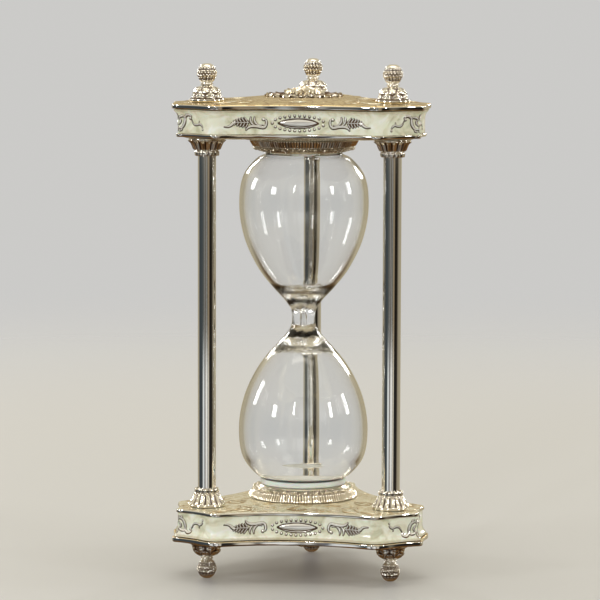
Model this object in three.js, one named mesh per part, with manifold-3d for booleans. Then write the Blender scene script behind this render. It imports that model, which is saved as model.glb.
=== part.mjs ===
// Hourglass in a three-cornered, silver-plated frame with pearl enamel bands.
// Millimetres, +Z up. The two ends are alike, so the hourglass stands either way up.
import * as THREE from 'three';
import { mergeVertices } from 'three/addons/utils/BufferGeometryUtils.js';
import Module from 'manifold-3d';

// Driving dimensions.
const height = 228;             // from the tips of the feet to the tips of the finials
const clearance = 0.3;          // air between pieces that touch
const pillarCircle = 47.1;      // radius of the circle through the three pillars
const tubeRadius = 4;
const tubeWall = 0.8;
const rodRadius = 2;
const rodBore = rodRadius + clearance;
const cornerAngles = { left: 210, right: 330, back: 90 };   // degrees, seen from above

// the plan of an end plate: half a corner, as reach along it and distance across it
const tipReach = 63.7;
const tipHalfWidth = 2.6;
const shoulderReach = 54.6;
const shoulderHalfWidth = 21.6;
const sideReach = 37.3;         // from the axis to the middle of a concave side

// heights of one end, measured from the tip of its feet towards the glass
const coverDome = 15;           // highest point of the outer cover, at its centre
const footSeat = 17;            // where the feet and finials bear on the cover
const lipStart = 17.7;
const lipEnd = 19.4;
const enamelStart = 19.7;
const enamelEnd = 30.1;
const rimStart = 30.4;
const rimEnd = 31.8;
const plinthTop = 32.3;         // where the capitals bear on the plate
const ringSeat = 33.7;          // where the seat ring bears on the plate
const ringTop = 39.5;           // polished lip of the seat ring
const capitalTop = 40.4;

// how far each band of an end stands back from the lip's outline
const enamelBack = 2.9;
const wallBack = 4.4;
const wallInside = 6.4;
const rimBack = 2;

// seat rings and the glass that they hold
const ringRadius = 24.4;
const ringLipRadius = 19.5;
const recessRadius = 17.9;
const glassStart = 41.7;
const glassEnd = 189.5;
const glassWall = 1.4;
const neckWall = 3.5;
const stopperHole = 6.5;

// steps round a turned piece
const boreSteps = 12;
const plainSteps = 16;
const fineSteps = 20;
const ringReeds = 18;           // reeds round a seat ring, two steps each
const lobes = 8;                // leaves of a capital and lobes of a foot, two steps each

// Materials.
const silver = new THREE.MeshStandardMaterial({ color: 0xd8d4ca, roughness: 0.14, metalness: 1 });
const enamel = new THREE.MeshStandardMaterial({ color: 0xe6dfca, roughness: 0.22, metalness: 0 });
const steel = new THREE.MeshStandardMaterial({ color: 0x9a9b9d, roughness: 0.35, metalness: 1 });
const silicone = new THREE.MeshStandardMaterial({ color: 0xe8e6dd, roughness: 0.4, metalness: 0 });
const whiteSand = new THREE.MeshStandardMaterial({ color: 0xe9e6dc, roughness: 0.95, metalness: 0 });
const clearGlass = new THREE.MeshStandardMaterial({
  color: 0xf2f5f2, roughness: 0.03, metalness: 0, transparent: true, opacity: 0.3,
});

// Solids: from three.js geometry to a manifold and back.
const manifold = await Module();
manifold.setup();

function toSolid(geometry) {
  const bare = geometry.clone();
  bare.deleteAttribute('normal');
  bare.deleteAttribute('uv');
  const merged = mergeVertices(bare, 1e-4);
  return new manifold.Manifold(new manifold.Mesh({
    numProp: 3,
    vertProperties: new Float32Array(merged.attributes.position.array),
    triVerts: new Uint32Array(merged.index.array),
  }));
}

function toGeometry(solid) {
  const { vertProperties, triVerts } = solid.getMesh();
  const geometry = new THREE.BufferGeometry();
  geometry.setAttribute('position', new THREE.BufferAttribute(new Float32Array(vertProperties), 3));
  geometry.setIndex(new THREE.BufferAttribute(new Uint32Array(triVerts), 1));
  geometry.computeVertexNormals();
  return geometry;
}

const radians = THREE.MathUtils.degToRad;

function onPillar(angle) {
  return new THREE.Vector3(Math.cos(radians(angle)), Math.sin(radians(angle)), 0)
    .multiplyScalar(pillarCircle);
}

// A turned piece about Z. The profile lists [radius, height] and runs round the section with
// the metal on its left, so that the faces point outwards.
function turned(profile, segments) {
  const points = profile.map(([radius, z]) => new THREE.Vector2(radius, z));
  const lathe = new THREE.LatheGeometry(points, segments);
  return lathe.rotateX(Math.PI / 2);
}

// Presses flutes into a turned piece: the radius dips by depthAt(z) between the ridges.
function flute(geometry, ridges, depthAt) {
  const position = geometry.attributes.position;
  for (let i = 0; i < position.count; i += 1) {
    const x = position.getX(i);
    const y = position.getY(i);
    const radius = Math.hypot(x, y);
    const depth = depthAt(radius, position.getZ(i));
    if (radius > 0.01 && depth > 0) {
      const dip = depth * (0.5 - 0.5 * Math.cos(ridges * Math.atan2(y, x)));
      position.setX(i, x * (1 - dip / radius));
      position.setY(i, y * (1 - dip / radius));
    }
  }
  return geometry;
}

// The plan of the end plates: points of one half corner. Each has its outward direction,
// along which it moves when the outline grows or shrinks.
function halfCorner(grow) {
  const at = (reach, across, direction) => new THREE.Vector2(
    reach + grow * Math.cos(radians(direction)),
    across + grow * Math.sin(radians(direction)),
  );
  const middle = at(sideReach * Math.cos(radians(60)), sideReach * Math.sin(radians(60)), 60);
  const tip = at(tipReach, 0, 0);
  const tipSide = at(tipReach - 1.3, tipHalfWidth, 14);
  const flankEnd = at(shoulderReach + 2, 15, 26);
  const shoulderEnd = at(shoulderReach - 5.1, shoulderHalfWidth + 0.6, 82);
  const flank = new THREE.CubicBezierCurve(
    tipSide, at(tipReach - 3.5, 6, 24), at(shoulderReach + 3.4, 10, 22), flankEnd);
  const shoulder = new THREE.QuadraticBezierCurve(
    flankEnd, at(shoulderReach, shoulderHalfWidth, 54), shoulderEnd);
  const side = new THREE.CubicBezierCurve(
    shoulderEnd,
    at(shoulderReach - 12.6, shoulderHalfWidth + 1.2, 82),
    at(middle.x - grow * 0.5 + 13, middle.y - grow * 0.866 - 7.5, 64),
    middle);
  // the two inner points of the shoulder are where it stands out furthest sideways and endways
  return [
    tip,
    ...flank.getPoints(1),
    shoulder.getPoint(0.28),
    shoulder.getPoint(0.7),
    shoulderEnd,
    side.getPoint(0.45),
    middle,
  ];
}

// The whole outline, counter-clockwise, as points at one height.
function outline(grow, z) {
  const half = halfCorner(grow);
  const mirrored = half.slice(1, -1).reverse().map((p) => new THREE.Vector2(p.x, -p.y));
  const corner = [...mirrored, ...half];
  return Object.values(cornerAngles).sort((a, b) => a - b).flatMap((angle) => corner.map((p) => {
    const turnedPoint = p.clone().rotateAround(new THREE.Vector2(), radians(angle));
    return new THREE.Vector3(turnedPoint.x, turnedPoint.y, z);
  }));
}

// A circle whose points lie in the same directions as the outline's.
function circle(radius, z) {
  return outline(0, z).map((p) => {
    const scale = radius / Math.hypot(p.x, p.y);
    return new THREE.Vector3(p.x * scale, p.y * scale, z);
  });
}

// A ring part of the way from a circle to an outline.
function between(inner, outer, share, z) {
  return inner.map((p, i) => p.clone().lerp(outer[i], share).setZ(z));
}

// Skins a list of rings, each joined to the next and the last to the first, into one body
// with a hole through its middle.
function loft(rings) {
  const count = rings[0].length;
  const positions = rings.flat().flatMap((p) => [p.x, p.y, p.z]);
  const index = [];
  rings.forEach((ring, r) => {
    const here = r * count;
    const next = ((r + 1) % rings.length) * count;
    for (let i = 0; i < count; i += 1) {
      const j = (i + 1) % count;
      index.push(here + i, here + j, next + j, here + i, next + j, next + i);
    }
  });
  const geometry = new THREE.BufferGeometry();
  geometry.setAttribute('position', new THREE.Float32BufferAttribute(positions, 3));
  geometry.setIndex(index);
  return geometry;
}

// Pieces of one end.
function rodBores(solid) {
  return Object.values(cornerAngles).reduce((body, angle) => {
    const bore = new THREE.CylinderGeometry(rodBore, rodBore, 60, boreSteps)
      .rotateX(Math.PI / 2);
    const { x, y } = onPillar(angle);
    return body.subtract(toSolid(bore.translate(x, y, 25)));
  }, solid);
}

// The casting: a domed deck, a moulded rim and a side wall that the enamel is laid on.
function plate() {
  const hole = 10;
  const deckEdge = outline(-rimBack, rimEnd);
  const ringFoot = circle(ringRadius + 1, ringSeat);
  let body = toSolid(loft([
    circle(hole, ringSeat - 2.2),
    outline(-wallInside, rimStart - 0.8),
    outline(-wallInside, enamelStart),
    outline(-wallBack, enamelStart),
    outline(-wallBack, rimStart),
    outline(-rimBack, rimStart),
    deckEdge,
    between(ringFoot, deckEdge, 0.32, plinthTop + 0.1),
    ringFoot,
    circle(hole, ringSeat),
  ]));
  for (const angle of Object.values(cornerAngles)) {
    const { x, y } = onPillar(angle);
    const plinth = turned([
      [0, rimStart], [9.6, rimStart], [9.6, rimEnd], [9.1, plinthTop], [0, plinthTop],
    ], boreSteps);
    body = body.add(toSolid(plinth.translate(x, y, 0)));
  }
  return toGeometry(rodBores(body));
}

// The enamel: a band laid round the wall, with a cove that runs out under the lip.
function enamelBand() {
  const back = wallBack - clearance;
  return toGeometry(toSolid(loft([
    outline(-back, enamelStart),
    outline(-0.9, enamelStart),
    outline(-2.1, enamelStart + 1.6),
    outline(-enamelBack, enamelStart + 3.2),
    outline(-enamelBack, enamelEnd),
    outline(-back, enamelEnd),
  ])));
}

// The outer cover: a domed sheet with a polished lip round its edge.
function cover() {
  const studHole = 1.8;
  const edge = outline(-1.6, lipStart - 0.45);
  const crown = circle(18, coverDome);
  const body = loft([
    circle(studHole, coverDome),
    crown,
    between(crown, edge, 0.45, coverDome + 1.1),
    edge,
    outline(0, lipStart + 0.2),
    outline(0, lipEnd),
    outline(-wallInside - 0.6, lipEnd),
    circle(studHole, coverDome + 1.6),
  ]);
  let solid = toSolid(body);
  for (const angle of Object.values(cornerAngles)) {
    const { x, y } = onPillar(angle);
    const spotFace = turned([[0, 0], [8.2, 0], [8.2, footSeat], [0, footSeat]], boreSteps);
    solid = solid.subtract(toSolid(spotFace.translate(x, y, 0)));
  }
  return toGeometry(rodBores(solid));
}

// The ring that the glass stands in: reeded round its base, stepped up to a polished lip.
function seatRing() {
  const base = ringSeat + clearance;
  const ring = turned([
    [12, base], [ringRadius, base], [ringRadius, base + 2.4], [ringRadius - 1.2, base + 3.3],
    [20.5, base + 4.6], [ringLipRadius, ringTop], [recessRadius, ringTop],
    [recessRadius, base + 2.1], [12, base + 2.1], [12, base],
  ], 2 * ringReeds);
  return flute(ring, ringReeds, (radius, z) => (radius > 23 && z < base + 3.2 ? 0.55 : 0));
}

// Capitals: a leafed skirt that flares to the plate and a collar round the pillar.
function capital() {
  const base = plinthTop + clearance;
  const socket = tubeRadius + clearance;
  const body = turned([
    [rodBore, base], [8.1, base], [8.1, base + 0.8], [6.9, base + 2.3], [6, base + 5.2],
    [5.5, base + 5.6], [5.5, capitalTop], [socket, capitalTop],
    [socket, base + 3.4], [rodBore, base + 3.4], [rodBore, base],
  ], 2 * lobes);
  return flute(body, lobes, (radius, z) => (radius > 5.6 && z < base + 5.3 ? 0.7 : 0));
}

// Feet and finials: a gadrooned ball on a neck, over a domed cap with a flange.
function finial() {
  const top = footSeat - clearance;
  const body = turned([
    [0, 0], [1.5, 0], [3.5, 1.5], [4.4, 4.2], [3.4, 7.2], [2.2, 9],
    [4.9, 10.6], [6.2, 12.2], [6.9, 15.1], [7.7, 15.3], [7.7, top],
    [rodBore, top], [rodBore, 10.9], [0, 10.9],
  ], 2 * lobes);
  return flute(body, lobes, (radius, z) => {
    if (z > 0.5 && z < 8) return 0.35;
    return radius > 4 && z < 14 ? 0.5 : 0;
  });
}

// The ornament in the middle of the cover: raised petals round a point, with a threaded stud.
function rosette() {
  const face = coverDome - clearance;
  const body = turned([
    [0, 11.1], [3, 12], [5.4, 13], [8.6, 13.5], [10.9, face],
    [1.5, face], [1.5, 20], [0, 20],
  ], 2 * lobes);
  return flute(body, lobes, (radius, z) => (radius > 2.8 && z < 14.2 ? 0.9 : 0));
}

function rosetteNut() {
  const start = coverDome + 1.6 + clearance;
  const hexagon = new THREE.Shape();
  for (let i = 0; i < 6; i += 1) {
    const angle = radians(60 * i);
    const corner = new THREE.Vector2(Math.cos(angle), Math.sin(angle)).multiplyScalar(3.2);
    if (i === 0) hexagon.moveTo(corner.x, corner.y);
    else hexagon.lineTo(corner.x, corner.y);
  }
  const bore = new THREE.Path().absarc(0, 0, 1.5 + clearance, 0, 2 * Math.PI, true);
  hexagon.holes.push(bore);
  return new THREE.ExtrudeGeometry(hexagon, { depth: 2.4, bevelEnabled: false, curveSegments: 8 })
    .translate(0, 0, start);
}

// Glass, sand and seals.
// Outer radius of the glass against height, from the floor of a bulb to the waist.
const bulbProfile = [
  [17.2, 0.4], [20.6, 1.9], [24.8, 6.2], [27.3, 10.6], [28.6, 17], [28.7, 25.5], [27.3, 34],
  [24.6, 42], [19.8, 51], [14.3, 58], [8.2, 64.6], [5.6, 68.6], [5.1, 72.3],
];
const waist = glassStart + 72.3;
const upperStretch = 1.018;     // the upper bulb is blown a little longer

function wallAt(z) {
  const nearWaist = Math.exp(-(((z - waist) / 7) ** 2));
  return glassWall + (neckWall - glassWall) * nearWaist;
}

// Outer points of the whole glass and the matching points of its inner face.
function glassFaces() {
  const lower = bulbProfile.map(([radius, z]) => new THREE.Vector2(radius, glassStart + z));
  const upper = lower.slice(0, -1).reverse().map(
    (p) => new THREE.Vector2(p.x, waist + (waist - p.y) * upperStretch));
  const outer = new THREE.SplineCurve([...lower, ...upper]).getPoints(14);
  const inner = outer.map((p, i) => {
    const before = outer[Math.max(i - 1, 0)];
    const after = outer[Math.min(i + 1, outer.length - 1)];
    const along = after.clone().sub(before).normalize();
    const wall = wallAt(p.y);
    return new THREE.Vector2(p.x - along.y * wall, p.y + along.x * wall);
  });
  return { outer, inner };
}

function glassVial() {
  const { outer, inner } = glassFaces();
  const floor = glassStart + 0.9;
  const roof = glassEnd - 0.9;
  const inside = inner.filter((p) => p.y > floor + 0.2 && p.y < roof - 0.2);
  const profile = [
    [stopperHole, glassStart],
    ...outer.map((p) => [p.x, p.y]),
    [17.2, glassEnd], [stopperHole, glassEnd], [stopperHole, roof],
    [16.2, roof],
    ...inside.reverse().map((p) => [p.x, p.y]),
    [16.2, floor], [stopperHole, floor], [stopperHole, glassStart],
  ];
  return turned(profile, fineSteps);
}

function sandBed() {
  const start = glassStart + 1.2;
  return turned([[0, start], [15.6, start], [16.4, start + 0.8], [0, start + 0.8]], plainSteps);
}

// Stepped washer under the glass; its rounded flange shows between the glass and the ring.
function lowerGasket() {
  const recessFloor = ringSeat + clearance + 2.1 + clearance;
  const under = ringTop + clearance;
  const top = glassStart - clearance;
  const bore = 9.2;
  return turned([
    [bore, recessFloor], [recessRadius - clearance, recessFloor],
    [recessRadius - clearance, under], [18.9, under], [19.2, under + 0.6], [18.7, under + 1.2],
    [17.4, top], [bore, top], [bore, recessFloor],
  ], plainSteps);
}

function upperGasket() {
  const start = glassEnd + clearance;
  const end = height - (ringSeat + clearance + 2.1) - clearance;
  const bore = 9.2;
  return turned([
    [bore, start], [recessRadius - clearance, start], [recessRadius - clearance, end],
    [bore, end], [bore, start],
  ], plainSteps);
}

// A soft plug: its stem fills the hole in the glass, its head bears on the outside.
function stopper(glassFace, headDepth, direction) {
  const stem = stopperHole - clearance;
  const profile = [
    [0, -headDepth], [8.6, -headDepth], [8.9, -clearance], [stem, -clearance], [stem, 0.8],
    [0, 0.8],
  ];
  const plug = turned(profile, boreSteps);
  if (direction < 0) plug.rotateY(Math.PI);
  return plug.translate(0, 0, glassFace);
}

// Pillars and tie rods.
function pillarTube() {
  const socketFloor = plinthTop + clearance + 3.4;
  const start = socketFloor + clearance;
  const inside = tubeRadius - tubeWall;
  return turned([
    [inside, start], [tubeRadius, start], [tubeRadius, height - start], [inside, height - start],
    [inside, start],
  ], plainSteps);
}

function tieRod() {
  const start = 11.2;
  return new THREE.CylinderGeometry(rodRadius, rodRadius, height - 2 * start, boreSteps)
    .rotateX(Math.PI / 2)
    .translate(0, 0, height / 2);
}

// Assembly.
function named(name, geometry, material) {
  const mesh = new THREE.Mesh(geometry, material);
  mesh.name = name;
  return mesh;
}

// One end of the frame, built upwards from its feet.
function frameEnd(end, footName) {
  const group = new THREE.Group();
  group.add(
    named(`${end}_plate`, plate(), silver),
    named(`${end}_enamel_band`, enamelBand(), enamel),
    named(`${end}_cover`, cover(), silver),
    named(`${end}_seat_ring`, seatRing(), silver),
    named(`${end}_rosette`, rosette(), silver),
    named(`${end}_rosette_nut`, rosetteNut(), steel),
  );
  for (const [corner, angle] of Object.entries(cornerAngles)) {
    const foot = named(`${footName}_${corner}`, finial(), silver);
    const head = named(`${end}_capital_${corner}`, capital(), silver);
    foot.position.copy(onPillar(angle));
    head.position.copy(onPillar(angle));
    group.add(foot, head);
  }
  return group;
}

const hourglass = new THREE.Group();
const lowerEnd = frameEnd('lower', 'foot');
const upperEnd = frameEnd('upper', 'finial');
upperEnd.rotation.y = Math.PI;
upperEnd.position.z = height;
// turning the upper end over swaps its left and right corners
for (const mesh of upperEnd.children) {
  const swapped = mesh.name.endsWith('_left')
    ? mesh.name.replace('_left', '_right')
    : mesh.name.replace('_right', '_left');
  mesh.name = swapped;
}
hourglass.add(lowerEnd, upperEnd);

for (const [corner, angle] of Object.entries(cornerAngles)) {
  const tube = named(`pillar_${corner}`, pillarTube(), silver);
  const rod = named(`tie_rod_${corner}`, tieRod(), steel);
  tube.position.copy(onPillar(angle));
  rod.position.copy(onPillar(angle));
  hourglass.add(tube, rod);
}

hourglass.add(
  named('glass_vial', glassVial(), clearGlass),
  named('sand', sandBed(), whiteSand),
  named('lower_gasket', lowerGasket(), silicone),
  named('upper_gasket', upperGasket(), silicone),
  named('lower_stopper', stopper(glassStart, 3, 1), silicone),
  named('upper_stopper', stopper(glassEnd, 2, -1), silicone),
);

// the origin is under the middle of the whole plan, at floor level
const plan = new THREE.Box3().setFromPoints(outline(0, 0));
const model = new THREE.Group();
hourglass.position.y = -(plan.min.y + plan.max.y) / 2;
model.add(hourglass);

export default model;
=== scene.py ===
# Hourglass in a three-cornered, silver-plated frame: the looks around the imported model.
import bisect
import math

import bmesh
import bpy
import numpy as np
from mathutils import Matrix, Quaternion, Vector
from mathutils.bvhtree import BVHTree


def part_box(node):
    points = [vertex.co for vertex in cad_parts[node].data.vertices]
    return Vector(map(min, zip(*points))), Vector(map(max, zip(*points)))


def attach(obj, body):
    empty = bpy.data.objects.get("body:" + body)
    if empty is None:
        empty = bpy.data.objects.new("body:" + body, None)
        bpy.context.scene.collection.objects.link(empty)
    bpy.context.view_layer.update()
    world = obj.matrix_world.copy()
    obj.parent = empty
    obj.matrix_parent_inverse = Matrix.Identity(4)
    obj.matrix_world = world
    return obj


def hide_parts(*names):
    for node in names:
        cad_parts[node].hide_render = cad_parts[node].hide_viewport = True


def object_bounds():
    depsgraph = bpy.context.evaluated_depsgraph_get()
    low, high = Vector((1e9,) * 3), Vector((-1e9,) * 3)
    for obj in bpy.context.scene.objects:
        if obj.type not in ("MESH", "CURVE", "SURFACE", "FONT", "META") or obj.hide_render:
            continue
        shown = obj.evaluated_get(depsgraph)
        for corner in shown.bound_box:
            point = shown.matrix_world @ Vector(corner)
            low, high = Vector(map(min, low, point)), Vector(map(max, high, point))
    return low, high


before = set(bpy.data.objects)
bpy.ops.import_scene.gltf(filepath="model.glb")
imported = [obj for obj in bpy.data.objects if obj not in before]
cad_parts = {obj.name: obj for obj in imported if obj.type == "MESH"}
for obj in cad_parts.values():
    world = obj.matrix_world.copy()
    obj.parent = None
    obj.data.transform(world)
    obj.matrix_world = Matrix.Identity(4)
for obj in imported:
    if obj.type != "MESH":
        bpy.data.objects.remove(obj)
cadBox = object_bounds()
print("frame loaded with", len(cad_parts), "nodes")

# Everything is drawn in millimetres round the glass's own axis, heights from the tips of the feet.
mm = 0.001
glassLow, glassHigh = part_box("glass_vial")
axisPlace = Vector(((glassLow.x + glassHigh.x) / 2, (glassLow.y + glassHigh.y) / 2, 0))
totalHeight = (cadBox[1].z - cadBox[0].z) / mm
toFrame = Matrix.Translation(axisPlace) @ Matrix.Scale(mm, 4)
turnOver = Matrix.Translation((0, 0, totalHeight)) @ Matrix.Rotation(math.pi, 4, "Y")
ends = {"lower": toFrame, "upper": toFrame @ turnOver}
corners = {}
for corner in ("left", "right", "back"):
    low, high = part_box("pillar_" + corner)
    corners[corner] = ((low + high) / 2 - axisPlace) / mm
    corners[corner].z = 0
swapped = {"left": "right", "right": "left", "back": "back"}   # what turning an end over does


# Scene and node helpers.
def linkObject(name, data):
    made = bpy.data.objects.new(name, data)
    bpy.context.scene.collection.objects.link(made)
    return made


def pointAlong(thing, place, aim, roll=0.0):
    thing.rotation_mode = "QUATERNION"
    thing.rotation_quaternion = aim.to_track_quat("-Z", "Y") @ Quaternion((0, 0, 1), roll)
    thing.location = place


# Sets a node's inputs, each to a value or to the socket that feeds it.
def feed(tree, node, inputs):
    for key, value in inputs.items():
        if isinstance(value, bpy.types.NodeSocket):
            tree.links.new(value, node.inputs[key])
        else:
            node.inputs[key].default_value = value
    return node


def addNode(tree, kind, inputs=None, **settings):
    node = tree.nodes.new(kind)
    for name, value in settings.items():
        setattr(node, name, value)
    return feed(tree, node, inputs or {})


def compute(tree, operation, *values, **settings):
    node = addNode(tree, "ShaderNodeMath", operation=operation, **settings)
    return feed(tree, node, dict(enumerate(values))).outputs["Value"]


def mapRange(tree, value, low, high, first=0.0, last=1.0, curve="LINEAR"):
    node = addNode(tree, "ShaderNodeMapRange", {
        "Value": value, "From Min": low, "From Max": high, "To Min": first, "To Max": last,
    }, interpolation_type=curve)
    return node.outputs["Result"]


def noise(tree, place, scale, detail, distortion=0.0):
    node = addNode(tree, "ShaderNodeTexNoise", {
        "Vector": place, "Scale": scale, "Detail": detail, "Distortion": distortion})
    return node.outputs["Fac"]


def mixColour(tree, factor, a, b):
    node = addNode(tree, "ShaderNodeMix", {"Factor": factor, "A": a, "B": b}, data_type="RGBA")
    return node.outputs["Result"]


def bumped(tree, height, strength, distance):
    node = addNode(tree, "ShaderNodeBump", {
        "Height": height, "Strength": strength, "Distance": distance})
    return node.outputs["Normal"]


def ramp(tree, source, stops):
    node = addNode(tree, "ShaderNodeValToRGB", {"Fac": source})
    node.color_ramp.interpolation = "EASE"
    elements = node.color_ramp.elements
    while len(elements) < len(stops):
        elements.new(0.5)
    for element, (place, colour) in zip(elements, stops):
        element.position = place
        element.color = (*colour, 1)
    return node.outputs["Color"]


def grey(value):
    return (value, value, value)


def newMaterial(name):
    material = bpy.data.materials.new(name)
    material.use_nodes = True
    tree = material.node_tree
    place = addNode(tree, "ShaderNodeTexCoord")
    return material, tree, tree.nodes["Principled BSDF"], place.outputs["Object"]


# Camera, studio and floor.
view = {
    "place": (0.13127, -1.56193, 0.28479),
    "aim": (-0.08484, 0.99096, -0.10395),
    "roll": 0.174,
    "lens": 210.57,
    "sensor": 36,
    "near": 0.05,
    "far": 50,
}


def addCamera():
    data = bpy.data.cameras.new("camera")
    data.lens = view["lens"]
    data.sensor_width = view["sensor"]
    data.clip_start = view["near"]
    data.clip_end = view["far"]
    camera = linkObject("camera", data)
    pointAlong(camera, view["place"], Vector(view["aim"]), math.radians(view["roll"]))
    bpy.context.scene.camera = camera


studio = {
    "backdrop": (0.60, 0.595, 0.58),
    "fill": (0.56, 0.545, 0.495),
    "throughGlass": (1.25, 1.21, 1.10),
    "strength": 1.0,
    "middle": (0, 0, 0.12),
}
# What polished metal sees round the horizon, by share of a turn; a quarter is straight behind
# the camera. The sky and the fades go by height instead, from 0 below to 1 above.
reflections = {
    "ground": [
        (0.00, (0.14, 0.070, 0.022)), (0.13, (0.15, 0.074, 0.022)), (0.157, (0.32, 0.33, 0.33)),
        (0.172, (0.32, 0.33, 0.33)), (0.185, (0.03, 0.025, 0.02)), (0.233, (0.03, 0.025, 0.02)),
        (0.245, (0.36, 0.35, 0.33)), (0.256, (0.36, 0.35, 0.33)), (0.27, (0.11, 0.052, 0.018)),
        (0.36, (0.03, 0.018, 0.010)), (0.46, (0.15, 0.075, 0.026)), (0.75, (0.12, 0.07, 0.03)),
        (0.95, (0.09, 0.05, 0.024)),
    ],
    "tableCards": [
        (0.00, (0.045, 0.053, 0.057)), (0.105, (0.050, 0.060, 0.064)), (0.13, (0.70, 0.73, 0.72)),
        (0.172, (0.74, 0.76, 0.74)), (0.184, (0.14, 0.15, 0.17)), (0.205, (0.12, 0.10, 0.09)),
        (0.214, (0.60, 0.58, 0.54)), (0.221, (0.60, 0.58, 0.54)), (0.228, (0.22, 0.20, 0.18)),
        (0.236, (0.80, 0.81, 0.78)), (0.285, (0.80, 0.79, 0.74)), (0.293, (0.16, 0.15, 0.14)),
        (0.303, (0.16, 0.15, 0.14)), (0.312, (0.66, 0.62, 0.52)), (0.335, (0.62, 0.58, 0.48)),
        (0.352, (0.022, 0.020, 0.018)), (0.455, (0.016, 0.014, 0.012)), (0.50, (0.28, 0.24, 0.17)),
        (0.58, (0.34, 0.30, 0.21)), (0.75, (0.46, 0.40, 0.27)), (0.90, (0.38, 0.34, 0.25)),
        (0.945, (0.34, 0.31, 0.24)), (0.965, (0.045, 0.053, 0.057)),
    ],
    "tableCardsFade": [(0.28, 0), (0.38, 1)],
    "cards": [
        (0.00, (0.045, 0.053, 0.057)), (0.11, (0.055, 0.065, 0.068)), (0.15, (0.11, 0.11, 0.10)),
        (0.185, (0.11, 0.11, 0.10)), (0.195, (0.30, 0.30, 0.28)), (0.205, (0.31, 0.30, 0.28)),
        (0.213, (0.05, 0.045, 0.04)), (0.232, (0.10, 0.07, 0.045)), (0.242, (0.12, 0.12, 0.11)),
        (0.251, (0.31, 0.32, 0.31)), (0.262, (0.31, 0.32, 0.31)), (0.270, (0.03, 0.03, 0.03)),
        (0.283, (0.03, 0.03, 0.03)), (0.292, (0.30, 0.28, 0.22)), (0.305, (0.24, 0.19, 0.12)),
        (0.345, (0.25, 0.19, 0.12)), (0.36, (0.012, 0.010, 0.008)), (0.44, (0.014, 0.011, 0.008)),
        (0.475, (0.11, 0.095, 0.065)), (0.51, (0.30, 0.26, 0.19)), (0.58, (0.34, 0.30, 0.21)),
        (0.75, (0.44, 0.38, 0.25)), (0.90, (0.38, 0.34, 0.25)), (0.945, (0.34, 0.31, 0.24)),
        (0.965, (0.045, 0.053, 0.057)),
    ],
    "cardsFade": [(0.413, 0), (0.445, 1)],
    "sky": [
        (0.49, (0.20, 0.17, 0.12)), (0.58, (0.60, 0.54, 0.42)), (0.70, (0.68, 0.62, 0.47)),
        (0.86, (0.62, 0.56, 0.42)), (1.0, (0.54, 0.47, 0.33)),
    ],
    "skyFade": [(0.505, 0), (0.57, 0.35), (0.66, 0.85), (0.80, 1)],
}


def addWorld():
    world = bpy.data.worlds.new("studio")
    bpy.context.scene.world = world
    world.use_nodes = True
    tree = world.node_tree
    tree.nodes.clear()
    place = addNode(tree, "ShaderNodeTexCoord").outputs["Generated"]
    split = addNode(tree, "ShaderNodeSeparateXYZ", {"Vector": place}).outputs
    share = mapRange(tree, compute(tree, "ARCTAN2", split["Y"], split["X"]), -math.pi, math.pi)
    height = mapRange(tree, split["Z"], -1, 1)
    mixed = ramp(tree, share, reflections["ground"])
    for layer, along in (("tableCards", share), ("cards", share), ("sky", height)):
        fade = [(level, grey(value)) for level, value in reflections[layer + "Fade"]]
        mixed = mixColour(tree, ramp(tree, height, fade), mixed,
                          ramp(tree, along, reflections[layer]))
    # bounced light is plain, and what is seen straight or through the glass is the backdrop
    path = addNode(tree, "ShaderNodeLightPath").outputs
    glossy = compute(tree, "GREATER_THAN", path["Glossy Depth"], 0.5)
    fill = mixColour(tree, path["Is Transmission Ray"], (*studio["fill"], 1),
                     (*studio["throughGlass"], 1))
    lit = mixColour(tree, glossy, fill, mixed)
    bounced = compute(tree, "ADD", glossy, path["Diffuse Depth"])
    through = compute(tree, "SUBTRACT", path["Is Transmission Ray"], bounced, use_clamp=True)
    seen = compute(tree, "MAXIMUM", path["Is Camera Ray"], through)
    background = addNode(tree, "ShaderNodeBackground", {
        "Color": mixColour(tree, seen, lit, (*studio["backdrop"], 1)),
        "Strength": studio["strength"],
    })
    addNode(tree, "ShaderNodeOutputWorld", {"Surface": background.outputs["Background"]})


# Each softbox: azimuth, lift, distance, size, power and colour.
softboxes = {
    "overhead": (0, 88, 1.7, (1.4, 1.1), 8, (1.0, 0.95, 0.86)),
    "windowLeft": (-52, 14, 1.5, (0.17, 0.26), 4.0, grey(1)),
    "windowMiddle": (-13, 20, 1.5, (0.07, 0.30), 2.0, grey(1)),
    "windowRight": (58, 16, 1.5, (0.10, 0.34), 3.0, grey(1)),
    "windowRightFar": (96, 14, 1.5, (0.10, 0.42), 3.0, grey(1)),
    "windowLeftFar": (-104, 16, 1.5, (0.12, 0.42), 3.0, grey(1)),
    "windowBackLeft": (-150, 18, 1.5, (0.14, 0.30), 3.4, grey(1)),
    "windowBackRight": (152, 16, 1.5, (0.14, 0.34), 3.4, grey(1)),
}


def addSoftboxes():
    for name, (azimuth, lift, distance, size, power, colour) in softboxes.items():
        data = bpy.data.lights.new(name, "AREA")
        data.shape = "RECTANGLE"
        data.size, data.size_y = size
        data.energy = power
        data.color = colour
        a = math.radians(azimuth)
        e = math.radians(lift)
        away = Vector((math.sin(a) * math.cos(e), -math.cos(a) * math.cos(e), math.sin(e)))
        pointAlong(linkObject(name, data), Vector(studio["middle"]) + away * distance, -away)


ground = {
    "colour": (0.62, 0.615, 0.60), "roughness": 0.36, "specular": 0.3, "segments": 96,
    "radius": 1.4, "solid": 0.30, "gone": 0.95,
}


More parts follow.
